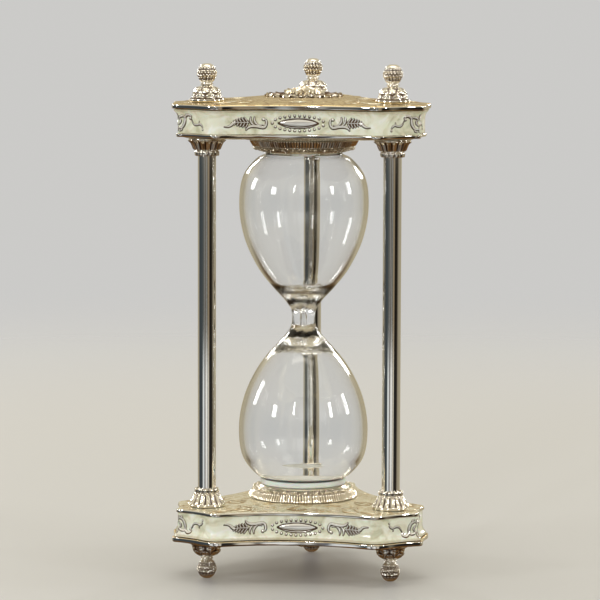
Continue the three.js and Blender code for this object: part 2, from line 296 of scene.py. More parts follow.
def addFloor():
    bm = bmesh.new()
    bmesh.ops.create_circle(bm, cap_ends=True, segments=ground["segments"],
                            radius=ground["radius"])
    mesh = bpy.data.meshes.new("floor")
    bm.to_mesh(mesh)
    bm.free()
    floor = linkObject("floor", mesh)
    material, tree, shader, place = newMaterial("paleFloor")
    # it fades into the backdrop, and reflections see past it
    length = addNode(tree, "ShaderNodeVectorMath", {0: place}, operation="LENGTH")
    fade = mapRange(tree, length.outputs["Value"], ground["solid"],
                    ground["radius"] * ground["gone"], 1, 0, "SMOOTHERSTEP")
    path = addNode(tree, "ShaderNodeLightPath")
    feed(tree, shader, {
        "Base Color": (*ground["colour"], 1),
        "Roughness": ground["roughness"],
        "Specular IOR Level": ground["specular"],
        "Alpha": compute(tree, "SUBTRACT", fade, path.outputs["Is Glossy Ray"]),
    })
    floor.data.materials.append(material)


bpy.context.scene.view_settings.view_transform = "Standard"
addCamera()
addWorld()
addSoftboxes()
addFloor()
print("camera, studio and floor set")


# Shaping helpers.
def bezierLine(controls, steps):
    line = []
    for i in range(steps + 1):
        points = [Vector(p) for p in controls]
        while len(points) > 1:
            points = [a.lerp(b, i / steps) for a, b in zip(points, points[1:])]
        line.append(points[0])
    return line


def splineLine(points, steps):
    points = [Vector(p) for p in points]
    padded = [points[0], *points, points[-1]]
    line = []
    for a, b, c, d in zip(padded, padded[1:], padded[2:], padded[3:]):
        for i in range(steps):
            t = i / steps
            line.append(b + (c - a) * (t / 2) + (a * 2 - b * 5 + c * 4 - d) * (t * t / 2)
                        + (b * 3 - a - c * 3 + d) * (t ** 3 / 2))
    return line + [points[-1]]


# A line of (radius, height, rounding) corners becomes one of rounded (radius, height) points.
def roundedLine(corners, closed=False, steps=4):
    line = []
    count = len(corners)
    for i, (radius, z, rounding) in enumerate(corners):
        here = Vector((radius, z))
        if rounding == 0 or (not closed and i in (0, count - 1)):
            line.append(here)
            continue
        cuts = []
        for beside in (corners[i - 1], corners[(i + 1) % count]):
            way = Vector(beside[:2]) - here
            cuts.append(here + way.normalized() * min(rounding, way.length * 0.49))
        line.extend(bezierLine([cuts[0], here, cuts[1]], steps))
    return line


def raised(profile, base):
    return [(radius, base + z, rounding) for radius, z, rounding in profile]


def fillIn(line, spacing):
    dense = [line[0]]
    for a, b in zip(line, line[1:]):
        pieces = max(1, math.ceil((b - a).length / spacing))
        dense.extend(a.lerp(b, (i + 1) / pieces) for i in range(pieces))
    return dense


def spinLine(line, steps, closed=False):
    bm = bmesh.new()
    verts = [bm.verts.new((p[0], 0, p[1])) for p in line]
    edges = [bm.edges.new(pair) for pair in zip(verts, verts[1:])]
    if closed:
        edges.append(bm.edges.new((verts[-1], verts[0])))
    bmesh.ops.spin(bm, geom=verts + edges, cent=(0, 0, 0), axis=(0, 0, 1), angle=2 * math.pi,
                   steps=steps, use_merge=True)
    bmesh.ops.remove_doubles(bm, verts=bm.verts[:], dist=0.0005)
    bmesh.ops.recalc_face_normals(bm, faces=bm.faces[:])
    return bm


# How far an angle is from the middle of its lobe: 0 on the crest and 1 in the groove.
def lobe(angle, count, shift=0.0):
    share = (angle / (2 * math.pi) * count + shift) % 1
    return abs(share * 2 - 1)


def smooth(low, high, value):
    t = min(1, max(0, (value - low) / (high - low)))
    return t * t * (3 - 2 * t)


def bell(distance, width):
    return math.exp(-(distance / width) ** 2)


def polar(vert):
    x, y, z = vert.co
    return math.hypot(x, y), math.atan2(y, x), z


def pushOut(vert, out, move):
    vert.co.x *= 1 + move / out
    vert.co.y *= 1 + move / out


def addBead(bm, place, radius, flat=1.0, segments=8, rings=5, turn=Matrix()):
    matrix = Matrix.Translation(place) @ turn @ Matrix.Diagonal((radius, radius, radius * flat, 1))
    bmesh.ops.create_uvsphere(bm, u_segments=segments, v_segments=rings, radius=1, matrix=matrix)


# Beads are gathered on a mesh of their own, because each new one costs the whole mesh's length.
def beadCircle(beads, reach, z, count, radius, shift=0.0):
    for i in range(count):
        angle = (i + shift) * 2 * math.pi / count
        addBead(beads, (reach * math.cos(angle), reach * math.sin(angle), z), radius)


# Adds one mesh to another and frees the one added, unless it is to be used again.
def joinInto(target, source, matrix=Matrix(), keep=False):
    mesh = bpy.data.meshes.new("part")
    source.to_mesh(mesh)
    mesh.transform(matrix)
    target.from_mesh(mesh)
    bpy.data.meshes.remove(mesh)
    if not keep:
        source.free()


# Tapered, round-backed strokes. Each stroke lists (x, y, half width) points.
def strokeMesh(strokes, steps=3, sides=1, flat=0.7):
    data = bpy.data.curves.new("strokes", "CURVE")
    data.dimensions = "3D"
    data.bevel_depth = 1
    data.bevel_resolution = sides
    data.use_fill_caps = True
    for stroke in strokes:
        points = splineLine(stroke, steps)
        spline = data.splines.new("POLY")
        spline.points.add(len(points) - 1)
        for target, point in zip(spline.points, points):
            target.co = (point.x, point.y, 0, 1)
            target.radius = max(point.z, 0.05)
    helper = linkObject("strokes", data)
    graph = bpy.context.evaluated_depsgraph_get()
    mesh = bpy.data.meshes.new_from_object(helper.evaluated_get(graph))
    bpy.data.objects.remove(helper)
    bm = bmesh.new()
    bm.from_mesh(mesh)
    bpy.data.meshes.remove(mesh)
    bmesh.ops.remove_doubles(bm, verts=bm.verts[:], dist=0.002)
    bmesh.ops.recalc_face_normals(bm, faces=bm.faces[:])
    bmesh.ops.scale(bm, vec=(1, 1, flat), verts=bm.verts[:])
    return bm


def widened(strokes, widen, boldness=1.0):
    return [[(x, y, width * boldness + widen) for x, y, width in stroke] for stroke in strokes]


def readArray(items, name, width, kind=float):
    values = np.empty(len(items) * width, kind)
    items.foreach_get(name, values)
    return values.reshape(-1, width)


# How hollow the mesh is at each vertex, from the edges that rise above the vertex's own plane.
def concavity(mesh):
    places = readArray(mesh.vertices, "co", 3)
    normals = readArray(mesh.vertices, "normal", 3)
    a, b = readArray(mesh.edges, "vertices", 2, int).T
    along = places[b] - places[a]
    along /= np.maximum(np.linalg.norm(along, axis=1), 1e-9)[:, None]
    bend = np.zeros(len(places))
    number = np.zeros(len(places))
    for start, way in ((a, along), (b, -along)):
        np.add.at(bend, start, (way * normals[start]).sum(1))
        np.add.at(number, start, 1)
    bend /= np.maximum(number, 1)
    for _ in range(2):
        total = bend.copy()
        np.add.at(total, a, bend[b])
        np.add.at(total, b, bend[a])
        bend = total / (number + 1)
    return bend


pieceCount = 0


def finishPiece(name, bm, place, material, slot="silver_plate", nodes=(), recessGain=5.0,
                sharp=40, second=None):
    global pieceCount
    mesh = bpy.data.meshes.new(name)
    bm.to_mesh(mesh)
    mesh.transform(place)
    mesh.update()
    stored = mesh.attributes.get("recess")
    values = np.zeros(len(mesh.vertices))
    if stored:
        stored.data.foreach_get("value", values)
    else:
        stored = mesh.attributes.new("recess", "FLOAT", "POINT")
    values = np.clip(np.maximum(values, concavity(mesh) * recessGain), 0, 1)
    stored.data.foreach_set("value", values.astype(np.float32))
    for polygon in mesh.polygons:
        polygon.use_smooth = True
    mesh.set_sharp_from_angle(angle=math.radians(sharp))
    mesh.materials.append(material)
    if second:
        mesh.materials.append(second)
    piece = linkObject(name, mesh)
    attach(piece, "root")
    if nodes:
        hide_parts(*nodes)
    pieceCount += 1


# The same piece at both ends of the frame.
def finishEnds(label, bm, material, node=None, turn=Matrix(), **settings):
    for end, place in ends.items():
        nodes = [f"{end}_{node}"] if node else ()
        finishPiece(f"{end}_{label}", bm, place @ turn, material, nodes=nodes, **settings)


# The same piece at each corner of both ends. titles gives each end's piece and node names.
def finishCorners(bm, material, titles, **settings):
    for end, place in ends.items():
        title, node = titles[end]
        for corner, spot in corners.items():
            name = corner if end == "lower" else swapped[corner]
            finishPiece(title + name, bm, place @ Matrix.Translation(spot), material,
                        nodes=[node + name], **settings)


# Finishes.
def newGroup(name, inputs, outputs):
    tree = bpy.data.node_groups.new(name, "ShaderNodeTree")
    for label, kind, value in inputs:
        socket = tree.interface.new_socket(label, in_out="INPUT", socket_type="NodeSocket" + kind)
        if value is not None:
            socket.default_value = value
    for label, kind in outputs:
        tree.interface.new_socket(label, in_out="OUTPUT", socket_type="NodeSocket" + kind)
    return tree, addNode(tree, "NodeGroupInput").outputs, addNode(tree, "NodeGroupOutput")


# Hair scratches and small handling marks: a roughness and a height.
def scratchGroup():
    tree, given, result = newGroup("handlingMarks", [
        ("Vector", "Vector", None), ("Scale", "Float", 300.0), ("Roughness", "Float", 0.1),
        ("Spread", "Float", 0.08),
    ], [("Roughness", "Float"), ("Height", "Float")])
    cloud = noise(tree, given["Vector"], given["Scale"], 4)
    stretch = addNode(tree, "ShaderNodeMapping", {
        "Vector": given["Vector"], "Rotation": (0.4, 0.7, 0.2), "Scale": (9, 1, 5)})
    lines = noise(tree, stretch.outputs["Vector"], given["Scale"], 2)
    both = compute(tree, "MULTIPLY", cloud, mapRange(tree, lines, 0.45, 0.75))
    wide = compute(tree, "MULTIPLY_ADD", both, given["Spread"], given["Roughness"])
    feed(tree, result, {"Roughness": wide, "Height": both})
    return tree


# Dark tarnish kept in the recesses, broken up by noise: the two mixed colours and a mask. On the
# silver this is patina; on the enamel the same darkening is painted shade.
def tarnishAndShadeGroup():
    tree, given, result = newGroup("recessTarnish", [
        ("Vector", "Vector", None), ("Recess", "Float", 0.0), ("Amount", "Float", 1.0),
        ("Scale", "Float", 700.0), ("Metal", "Color", (0.9, 0.88, 0.84, 1)),
        ("Tarnish", "Color", (0.10, 0.055, 0.03, 1)),
    ], [("Color", "Color"), ("Mask", "Float")])
    cloud = noise(tree, given["Vector"], given["Scale"], 5)
    broken = compute(tree, "MULTIPLY_ADD", cloud, 0.5, -0.25)
    uneven = compute(tree, "ADD", given["Recess"], broken)
    soft = mapRange(tree, uneven, 0.25, 0.85, curve="SMOOTHSTEP")
    mask = compute(tree, "MULTIPLY", soft, given["Amount"])
    mixed = mixColour(tree, mask, given["Metal"], given["Tarnish"])
    feed(tree, result, {"Color": mixed, "Mask": mask})
    return tree


marks = scratchGroup()
tarnishAndShade = tarnishAndShadeGroup()


def placeGroup(tree, groupTree, place, **values):
    node = addNode(tree, "ShaderNodeGroup", node_tree=groupTree)
    return feed(tree, node, {"Vector": place, **values}).outputs


def placeTarnish(tree, place, **values):
    recess = addNode(tree, "ShaderNodeAttribute", attribute_name="recess")
    return placeGroup(tree, tarnishAndShade, place, Recess=recess.outputs["Fac"], **values)


silver = {"grain": 2600, "markDepth": 0.00005, "dulling": 0.3, "mottle": (330, 6, 0.8)}


# browned is the colour of the mottled patches, on plate that has them.
def silverPlate(name, metal, roughness, tarnishAmount, spread=0.06, bump=0.05, browned=None,
                metallic=1.0):
    material, tree, shader, place = newMaterial(name)
    tone = (*metal, 1)
    if browned:
        cloud = noise(tree, place, *silver["mottle"])
        tone = ramp(tree, cloud, [(0.36, browned), (0.52, metal), (0.7, metal)])
    worn = placeTarnish(tree, place, Amount=tarnishAmount, Metal=tone)
    handled = placeGroup(tree, marks, place, Roughness=roughness, Spread=spread,
                         Scale=silver["grain"])
    feed(tree, shader, {
        "Base Color": worn["Color"],
        "Metallic": metallic,
        "Roughness": compute(tree, "MULTIPLY_ADD", worn["Mask"], silver["dulling"],
                             handled["Roughness"]),
        "Normal": bumped(tree, handled["Height"], bump, silver["markDepth"]),
    })
    return material


def pearlEnamel():
    material, tree, shader, place = newMaterial("pearlEnamel")
    cloud = noise(tree, place, 110, 6, 1.6)
    colour = ramp(tree, cloud, [
        (0.30, (0.58, 0.57, 0.40)), (0.44, (0.75, 0.745, 0.58)), (0.56, (0.85, 0.86, 0.72)),
        (0.70, (0.93, 0.945, 0.87)),
    ])
    # painted shade: the enamel is darkened to tan in its cove by the lip and in its hollows
    shade = placeTarnish(tree, place, Amount=0.6, Scale=900, Tarnish=(0.42, 0.34, 0.20, 1),
                         Metal=colour)
    handled = placeGroup(tree, marks, place, Roughness=0.2, Spread=0.12, Scale=900)
    feed(tree, shader, {
        "Base Color": shade["Color"], "Roughness": handled["Roughness"],
        "Normal": bumped(tree, cloud, 0.25, 0.0002), "Coat Weight": 0.7, "Coat Roughness": 0.06,
        "Subsurface Weight": 0.15, "Subsurface Scale": 0.001,
    })
    return material


drawnNeck = {"height": 0.114, "near": 0.008, "far": 0.017, "depth": 14.0}


def clearGlass():
    material, tree, shader, place = newMaterial("clearGlass")
    waves = noise(tree, place, 45, 1)
    # upright striae where the neck was drawn out
    stretch = addNode(tree, "ShaderNodeMapping", {"Vector": place, "Scale": (1, 1, 0.2)})
    striae = noise(tree, stretch.outputs["Vector"], 520, 2)
    split = addNode(tree, "ShaderNodeSeparateXYZ", {"Vector": place})
    away = compute(tree, "SUBTRACT", split.outputs["Z"], drawnNeck["height"])
    near = mapRange(tree, compute(tree, "ABSOLUTE", away), drawnNeck["near"], drawnNeck["far"],
                    drawnNeck["depth"], 0, "SMOOTHSTEP")
    both = compute(tree, "MULTIPLY_ADD", striae, near, waves)
    feed(tree, shader, {
        "Base Color": (0.99, 0.995, 0.99, 1), "Roughness": 0, "IOR": 1.5,
        "Transmission Weight": 1, "Normal": bumped(tree, both, 0.12, 0.0005),
    })
    return material


def milkySilicone():
    material, tree, shader, place = newMaterial("milkySilicone")
    colour = ramp(tree, noise(tree, place, 260, 4), [
        (0.3, (0.93, 0.92, 0.86)), (0.7, (0.99, 0.985, 0.95))])
    handled = placeGroup(tree, marks, place, Roughness=0.22, Spread=0.2, Scale=1200)
    feed(tree, shader, {
        "Base Color": colour, "Roughness": handled["Roughness"], "Transmission Weight": 0.05,
        "Subsurface Weight": 0.4, "Subsurface Scale": 0.003,
    })
    return material


def fineSand():
    material, tree, shader, place = newMaterial("fineSand")
    grains = addNode(tree, "ShaderNodeTexVoronoi", {"Vector": place, "Scale": 4200}).outputs
    split = addNode(tree, "ShaderNodeSeparateColor", {"Color": grains["Color"]})
    colour = ramp(tree, split.outputs["Red"], [
        (0.0, (0.72, 0.69, 0.58)), (0.4, (0.90, 0.88, 0.80)), (1.0, (0.98, 0.98, 0.94))])
    feed(tree, shader, {
        "Base Color": colour, "Roughness": 0.9,
        "Normal": bumped(tree, grains["Distance"], 0.6, 0.0002),
    })
    return material


def turnedSteel():
    material, tree, shader, place = newMaterial("turnedSteel")
    handled = placeGroup(tree, marks, place, Roughness=0.28, Spread=0.25, Scale=1500)
    colour = ramp(tree, handled["Height"], [(0.1, grey(0.45)), (0.6, grey(0.62))])
    feed(tree, shader, {
        "Base Color": colour, "Roughness": handled["Roughness"], "Metallic": 1})
    return material


polished = silverPlate("polishedSilver", (0.93, 0.92, 0.90), 0.045, 0.3)
antique = silverPlate("antiqueSilver", (0.92, 0.89, 0.83), 0.07, 0.95)
castSilver = silverPlate("castSilver", (0.99, 0.97, 0.92), 0.18, 0.3, metallic=0.5)
warmSilver = silverPlate("warmSilver", (0.97, 0.91, 0.78), 0.14, 0.95)
tarnishAndShadow = silverPlate("tarnishAndShadowSilver", (0.10, 0.058, 0.030), 0.45, 0.5)
umber = silverPlate("umberSilver", (0.40, 0.26, 0.11), 0.32, 0.5)
brightSilver = silverPlate("brightSilver", (0.99, 0.98, 0.95), 0.09, 0.2, metallic=0.62)
champagne = silverPlate("champagneSilver", (0.99, 0.95, 0.76), 0.24, 0.7, spread=0.14, bump=0.2,
                        browned=(0.76, 0.61, 0.36), metallic=0.72)
straw = silverPlate("strawSilver", (0.79, 0.63, 0.34), 0.24, 0.7, spread=0.14, bump=0.2,
                    browned=(0.50, 0.34, 0.14))
agedSilver = silverPlate("agedSilver", (0.93, 0.89, 0.80), 0.1, 1.0, browned=(0.50, 0.39, 0.24))
enamel = pearlEnamel()
glass = clearGlass()
silicone = milkySilicone()
sandGrains = fineSand()
steel = turnedSteel()
print("finishes mixed")


# Pillars.
pillar = {"radius": 4.0, "wall": 0.8, "start": 36.3, "edge": 0.15, "steps": 96}


def makePillars():
    outer = pillar["radius"]
    inner = outer - pillar["wall"]
    low = pillar["start"]
    high = totalHeight - low
    edge = pillar["edge"]
    bm = spinLine(roundedLine([(inner, low, 0), (outer, low, edge), (outer, high, edge),
                               (inner, high, 0)]), pillar["steps"], closed=True)
    for corner, place in corners.items():
        finishPiece("tube_" + corner, bm, toFrame @ Matrix.Translation(place), polished,
                    nodes=["pillar_" + corner])
    bm.free()


makePillars()
print("pillars turned")


# Glass, washers, stoppers and sand.
vial = {
    "start": 41.7, "end": 189.5, "upperStretch": 1.018, "steps": 144,
    "wall": 1.9, "seatWall": 0.8, "seatFade": 9, "floor": 0.9, "floorEdge": 0.2,
    "hole": 6.5, "foot": 16.4, "inside": 15.9,
    "solidNeck": 15.2, "neckFloor": 12.8, "neckCorner": 8.6, "neckRounding": 2.6, "bore": 0.8,
    "boreRounding": 0.8,
    "profile": [(17.2, 0.4), (20.6, 1.9), (24.8, 6.2), (27.3, 10.6), (28.6, 17), (28.7, 25.5),
                (27.3, 34), (24.6, 42), (19.8, 51), (14.3, 58), (8.2, 64.6), (5.6, 68.6),
                (5.1, 72.3)],
}


# The outer and inner lines of the blown wall, from the lower seat up, and the waist's height.
def glassLines():
    start = vial["start"]
    waist = start + vial["profile"][-1][1]
    lower = [(radius, start + z) for radius, z in vial["profile"]]
    upper = [(radius, waist + (waist - z) * vial["upperStretch"]) for radius, z in lower[-2::-1]]
    outer = splineLine(lower + upper, 5)
    inner = []
    for i, point in enumerate(outer):
        along = (outer[min(i + 1, len(outer) - 1)] - outer[max(i - 1, 0)]).normalized()
        away = smooth(0, vial["seatFade"], min(point.y - start, vial["end"] - point.y))
        wall = vial["seatWall"] + (vial["wall"] - vial["seatWall"]) * away
        inner.append(Vector((point.x - along.y * wall, point.y + along.x * wall)))
    return outer, inner, waist


def makeGlass(outer, inner, waist):
    start, end, hole, foot, inside = (vial[key] for key in (
        "start", "end", "hole", "foot", "inside"))
    floor = start + vial["floor"]
    roof = end - vial["floor"]
    clear = vial["floorEdge"]
    above = [p for p in reversed(inner) if waist + vial["solidNeck"] < p.y < roof - clear]
    below = [p for p in reversed(inner) if floor + clear < p.y < waist - vial["solidNeck"]]
    corner, rounding = vial["neckCorner"], vial["neckRounding"]
    bore, mouth = vial["bore"], vial["boreRounding"]
    top = waist + vial["neckFloor"]
    bottom = waist - vial["neckFloor"]
    neck = roundedLine([(*above[-1], 0), (corner, top, rounding), (bore, top, mouth),
                        (bore, bottom, mouth), (corner, bottom, rounding), (*below[0], 0)],
                       steps=8)
    line = [(hole, start), (foot, start), *outer, (foot, end), (hole, end), (hole, roof),
            (inside, roof), *above[:-1], *neck, *below[1:], (inside, floor), (hole, floor)]
    bm = spinLine(line, vial["steps"], closed=True)
    finishPiece("blown_glass", bm, toFrame, glass, "clear_glass", ["glass_vial"], sharp=50)
    bm.free()


washer = {
    "bore": 9.2, "outer": 17.6, "recessFloor": 36.4, "flangeStart": 39.8, "flange": 19.2,
    "inside": 17.7, "top": 41.4, "lip": 42.3, "gap": 0.3, "steps": 96,
}


def makeWashers():
    bore, outer, flange = washer["bore"], washer["outer"], washer["flange"]
    floor, start, top, lip = (washer[key] for key in ("recessFloor", "flangeStart", "top", "lip"))
    low = vial["end"] + washer["gap"]
    high = totalHeight - floor
    profiles = {
        "lower": [
            (bore, floor, 0), (outer, floor, 0.2), (outer, start, 0), (flange - 0.3, start, 0.3),
            (flange, start + 0.6, 0.5), (flange, lip - 0.3, 0.3), (flange - 0.6, lip, 0.3),
            (washer["inside"], top + 0.1, 0.2), (bore, top, 0)],
        "upper": [(bore, low, 0), (outer, low, 0.3), (outer, high, 0.3), (bore, high, 0)],
    }
    for end, profile in profiles.items():
        bm = spinLine(roundedLine(profile, closed=True), washer["steps"], closed=True)
        finishPiece("washer_" + end, bm, toFrame, silicone, "silicone", [end + "_gasket"])
        bm.free()


stopper = {"stem": 6.2, "head": 8.6, "rim": 8.9, "reach": 0.8, "gap": 0.3, "steps": 64}


def makeStopper(end, face, depth, turn):
    stem, reach, gap = stopper["stem"], stopper["reach"], stopper["gap"]
    bm = spinLine(roundedLine([
        (0, -depth, 0), (stopper["head"], -depth, 0.4), (stopper["rim"], -gap, 0.2),
        (stem, -gap, 0), (stem, reach, 0.3), (0, reach, 0)]), stopper["steps"])
    place = toFrame @ Matrix.Translation((0, 0, face)) @ Matrix.Rotation(turn, 4, "Y")
    finishPiece("stopper_" + end, bm, place, silicone, "silicone", [end + "_stopper"])
    bm.free()


bed = {"start": 42.7, "depth": 1.5, "foot": 15.6, "gap": 0.14, "ripple": 0.10, "steps": 96}


# The sand fills the bottom of the glass out to its wall.
def makeSand(inner):
    start = bed["start"]
    top = start + bed["depth"]
    side = [Vector((p.x - bed["gap"], p.y)) for p in fillIn(inner[:12], 0.3)
            if start + 0.15 < p.y < top - 0.1]
    line = fillIn([Vector((0, start)), Vector((bed["foot"], start)), *side,
                   Vector((side[-1].x - 0.6, top)), Vector((0, top))], 1.1)
    bm = spinLine(line, bed["steps"])
    for vert in bm.verts:
        x, y, z = vert.co
        if z > top - 0.1:
            wave = math.sin(x * 1.3 + 0.7 * math.sin(y)) + math.sin(y * 1.7 + x * 0.4)
            vert.co.z -= bed["ripple"] * (0.5 + 0.25 * wave)
    finishPiece("sand_bed", bm, toFrame, sandGrains, "white_sand", ["sand"])
    bm.free()


outerLine, innerLine, waistHeight = glassLines()
makeGlass(outerLine, innerLine, waistHeight)
makeWashers()
makeStopper("lower", vial["start"], 3, 0)
makeStopper("upper", vial["end"], 2, math.pi)
makeSand(innerLine)
print("glass, washers, stoppers and sand in place")


# Plan of the end plates: a rounded triangle with drawn-out corners and hollow sides. Half of a
# corner is a chain of curves, each with its steps and control points. A point is its reach along
# the corner, its distance across, and the direction that it moves in as the plan grows.
plan = {
    "angles": (90, 210, 330), "sideReach": 37.3,
    "nose": (3, [(63.7, 0, 0), (63.65, 1.5, 4), (62.4, 2.6, 14)]),
    "flank": (14, [(62.4, 2.6, 14), (60.2, 6, 24), (58.0, 10, 22), (56.6, 15, 26)]),
    "shoulder": (12, [(56.6, 15, 26), (54.6, 21.6, 54), (49.5, 22.2, 82)]),
    "side": (26, [(49.5, 22.2, 82), (42.0, 22.8, 82)]),
}


def halfCorner(grow):
    x = plan["sideReach"] * math.cos(math.radians(60))
    y = plan["sideReach"] * math.sin(math.radians(60))
    steps, toSide = plan["side"]
    side = (steps, [*toSide, (x + 13, y - 7.5, 64), (x, y, 60)])
    line = []
    for steps, controls in (plan["nose"], plan["flank"], plan["shoulder"], side):
        points = []
        for reach, across, direction in controls:
            way = math.radians(direction)
            points.append((reach + grow * math.cos(way), across + grow * math.sin(way)))
        line = line[:-1] + bezierLine(points, steps)
    return line


def outline(grow):
    half = halfCorner(grow)
    corner = [Vector((p.x, -p.y)) for p in half[-2:0:-1]] + half
    points = []
    for angle in plan["angles"]:
        turn = Matrix.Rotation(math.radians(angle), 2)
        points.extend(turn @ p for p in corner)
    return points


edgeLine = outline(0)
edgeWay = [b - a for a, b in zip(edgeLine, outline(1))]   # how each point moves as it grows


def atEdge(grow, z):
    return [(p + way * grow).to_3d() + Vector((0, 0, z)) for p, way in zip(edgeLine, edgeWay)]


def atCircle(radius, z):
    return [(p.normalized() * radius).to_3d() + Vector((0, 0, z)) for p in edgeLine]


# The rings between two given ones; riseAt gives the height at a share of the way.
def slopeRings(first, last, riseAt, count=15):
    rings = []
    for i in range(1, count):
        share = i / count
        rings.append([(*a.lerp(b, share).xy, riseAt(share)) for a, b in zip(first, last)])
    return rings


# Extrudes a loop of edges from ring to ring and closes it on itself.
def skinRings(rings):
    bm = bmesh.new()
    first = [bm.verts.new(p) for p in rings[0]]
    loop = [bm.edges.new((a, b)) for a, b in zip(first, first[1:] + first[:1])]
    start = loop
    for ring in rings[1:]:
        made = bmesh.ops.extrude_edge_only(bm, edges=loop)["geom"]
        verts = [item for item in made if isinstance(item, bmesh.types.BMVert)]
        loop = [item for item in made if isinstance(item, bmesh.types.BMEdge)
                and len(item.link_faces) == 1 and item.verts[0] in verts
                and item.verts[1] in verts]
        for vert, place in zip(verts, ring):
            vert.co = place
    bmesh.ops.bridge_loops(bm, edges=start + loop)
    bmesh.ops.recalc_face_normals(bm, faces=bm.faces[:])
    return bm


levels = {
    "coverDome": 15.0, "footSeat": 17.02, "slopeEnd": 17.2, "lipStart": 17.7, "lipEnd": 19.4,
    "enamelStart": 19.7, "enamelEnd": 30.1, "rimStart": 30.4, "rimEnd": 31.8, "plinthTop": 32.3,
    "ringSeat": 33.7,
}


# Gives the second finish to the upright faces between two heights.
def polishEdge(bm, low, high):
    for face in bm.faces:
        height = face.calc_center_median().z
        face.material_index = 1 if abs(face.normal.z) < 0.65 and low < height < high else 0


# Draws the slope to a level seat round each pillar, between two distances from its axis.
def seatPillars(bm, lowest, highest, level, inner, outer):
    for vert in bm.verts:
        if lowest < vert.co.z < highest:
            near = min((vert.co.xy - place.xy).length for place in corners.values())
            vert.co.z += (level - vert.co.z) * (1 - smooth(inner, outer, near))


cover = {"inside": 7.0, "crown": 18.0, "hole": 1.8, "thickness": 1.6, "seat": (8.2, 9.6)}


def makeCover():
    dome = levels["coverDome"]
    low = levels["slopeEnd"]
    z = levels["lipStart"]
    top = levels["lipEnd"]
    edge = atEdge(-1.9, low)
    crown = atCircle(cover["crown"], dome + 0.05)
    rings = [atCircle(cover["hole"], dome)]
    rings += [atCircle(cover["crown"] * share, dome + 0.02) for share in (0.25, 0.5, 0.75)]
    rings += [crown, *slopeRings(crown, edge, lambda share: dome + (low - dome) * (
        0.12 * share + 0.88 * share ** 1.25)), edge]
    rings += [atEdge(grow, height) for grow, height in roundedLine([
        (-1.9, low, 0), (-0.5, z - 0.42, 0.12), (-0.12, z - 0.08, 0.22), (-0.05, z + 0.3, 0.15),
        (-0.05, top - 0.4, 0.1), (-0.12, top - 0.12, 0.15), (-0.4, top, 0.1), (-1.6, top, 0)],
        steps=3)[1:]]
    rings += [atEdge(-cover["inside"], top), atCircle(cover["hole"], dome + cover["thickness"])]
    bm = skinRings(rings)
    seatPillars(bm, 0, low + 0.05, levels["footSeat"], *cover["seat"])
    polishEdge(bm, low + 0.05, top)
    finishEnds("lid", bm, straw, "cover", second=polished)
    return bm


plate = {"hole": 10.0, "landing": 17.0, "ringFoot": 25.4, "inside": 6.4, "wall": 4.4, "rim": 2.0,
         "plinth": (9.1, 9.9)}


def makePlate():
    seat = levels["ringSeat"]
    low = levels["rimStart"]
    high = levels["rimEnd"]
    rim = -plate["rim"]
    deck = atEdge(rim - 0.9, high + 0.05)
    foot = atCircle(plate["ringFoot"], seat)
    rings = [atCircle(plate["hole"], seat - 2.2), atEdge(-plate["inside"], low - 0.8),
             atEdge(-plate["inside"], levels["enamelStart"]),
             atEdge(-plate["wall"], levels["enamelStart"]), atEdge(-plate["wall"], low)]
    rings += [atEdge(grow, z) for grow, z in roundedLine([
        (rim - 0.5, low, 0), (rim - 0.12, low, 0.08), (rim - 0.03, low + 0.2, 0),
        (rim - 0.26, high - 0.25, 0.1), (rim - 0.38, high - 0.02, 0.1),
        (rim - 0.6, high + 0.05, 0.1), (rim - 0.9, high + 0.05, 0)], steps=2)]
    rings += slopeRings(deck, foot, lambda share: high + 0.05 + (seat - high) * share ** 1.5)
    rings += [foot, atCircle(plate["landing"], seat), atCircle(plate["hole"], seat)]
    bm = skinRings(rings)
    seatPillars(bm, high + 0.1, totalHeight, levels["plinthTop"], *plate["plinth"])
    polishEdge(bm, low, high)
    finishEnds("deck", bm, champagne, "plate", second=polished)
    return bm


coverShape = makeCover()
deckShape = makePlate()
print("plates and covers skinned")

band = {
    "back": 4.1, "face": 2.9, "middle": 25.2, "shade": 0.8, "shadeHeights": (20.0, 21.8),
    "profile": [(-0.9, 19.75, 0), (-1.25, 20.5, 0.4), (-2.3, 21.6, 0.9), (-2.9, 23.2, 1.0),
                (-2.9, 30.1, 0)],
}
bandLine = roundedLine(band["profile"], steps=5)


def bandGrow(z):
    for a, b in zip(bandLine, bandLine[1:]):
        if a.y <= z <= b.y:
            return a.x + (b.x - a.x) * (z - a.y) / (b.y - a.y)
    return bandLine[0].x if z < bandLine[0].y else bandLine[-1].x


def makeBands():
    bm = skinRings([atEdge(-band["back"], levels["enamelStart"]),
                    *(atEdge(p.x, p.y) for p in fillIn(bandLine, 1.2)),
                    atEdge(-band["back"], levels["enamelEnd"])])
    # painted shade: the enamel darkens towards the lip, down its cove, where the lip shades it
    recess = bm.verts.layers.float.new("recess")
    for vert in bm.verts:
        vert[recess] = band["shade"] * (1 - smooth(*band["shadeHeights"], vert.co.z))
    finishEnds("enamel", bm, enamel, "enamel_band", slot="pearl_enamel")
    bm.free()


makeBands()
print("enamel bands laid")


# Cast ornament on the enamel.
def mirrored(strokes):
    return strokes + [[(-x, y, width) for x, y, width in stroke] for stroke in strokes]


def evenly(points, count):
    loop = points + points[:1]
    total = sum((b - a).length for a, b in zip(loop, loop[1:]))
    found = []
    walked = 0
    for a, b in zip(loop, loop[1:]):
        step = (b - a).length
        while len(found) < count and walked + step >= total * len(found) / count:
            found.append(a.lerp(b, (total * len(found) / count - walked) / step))
        walked += step
    return found


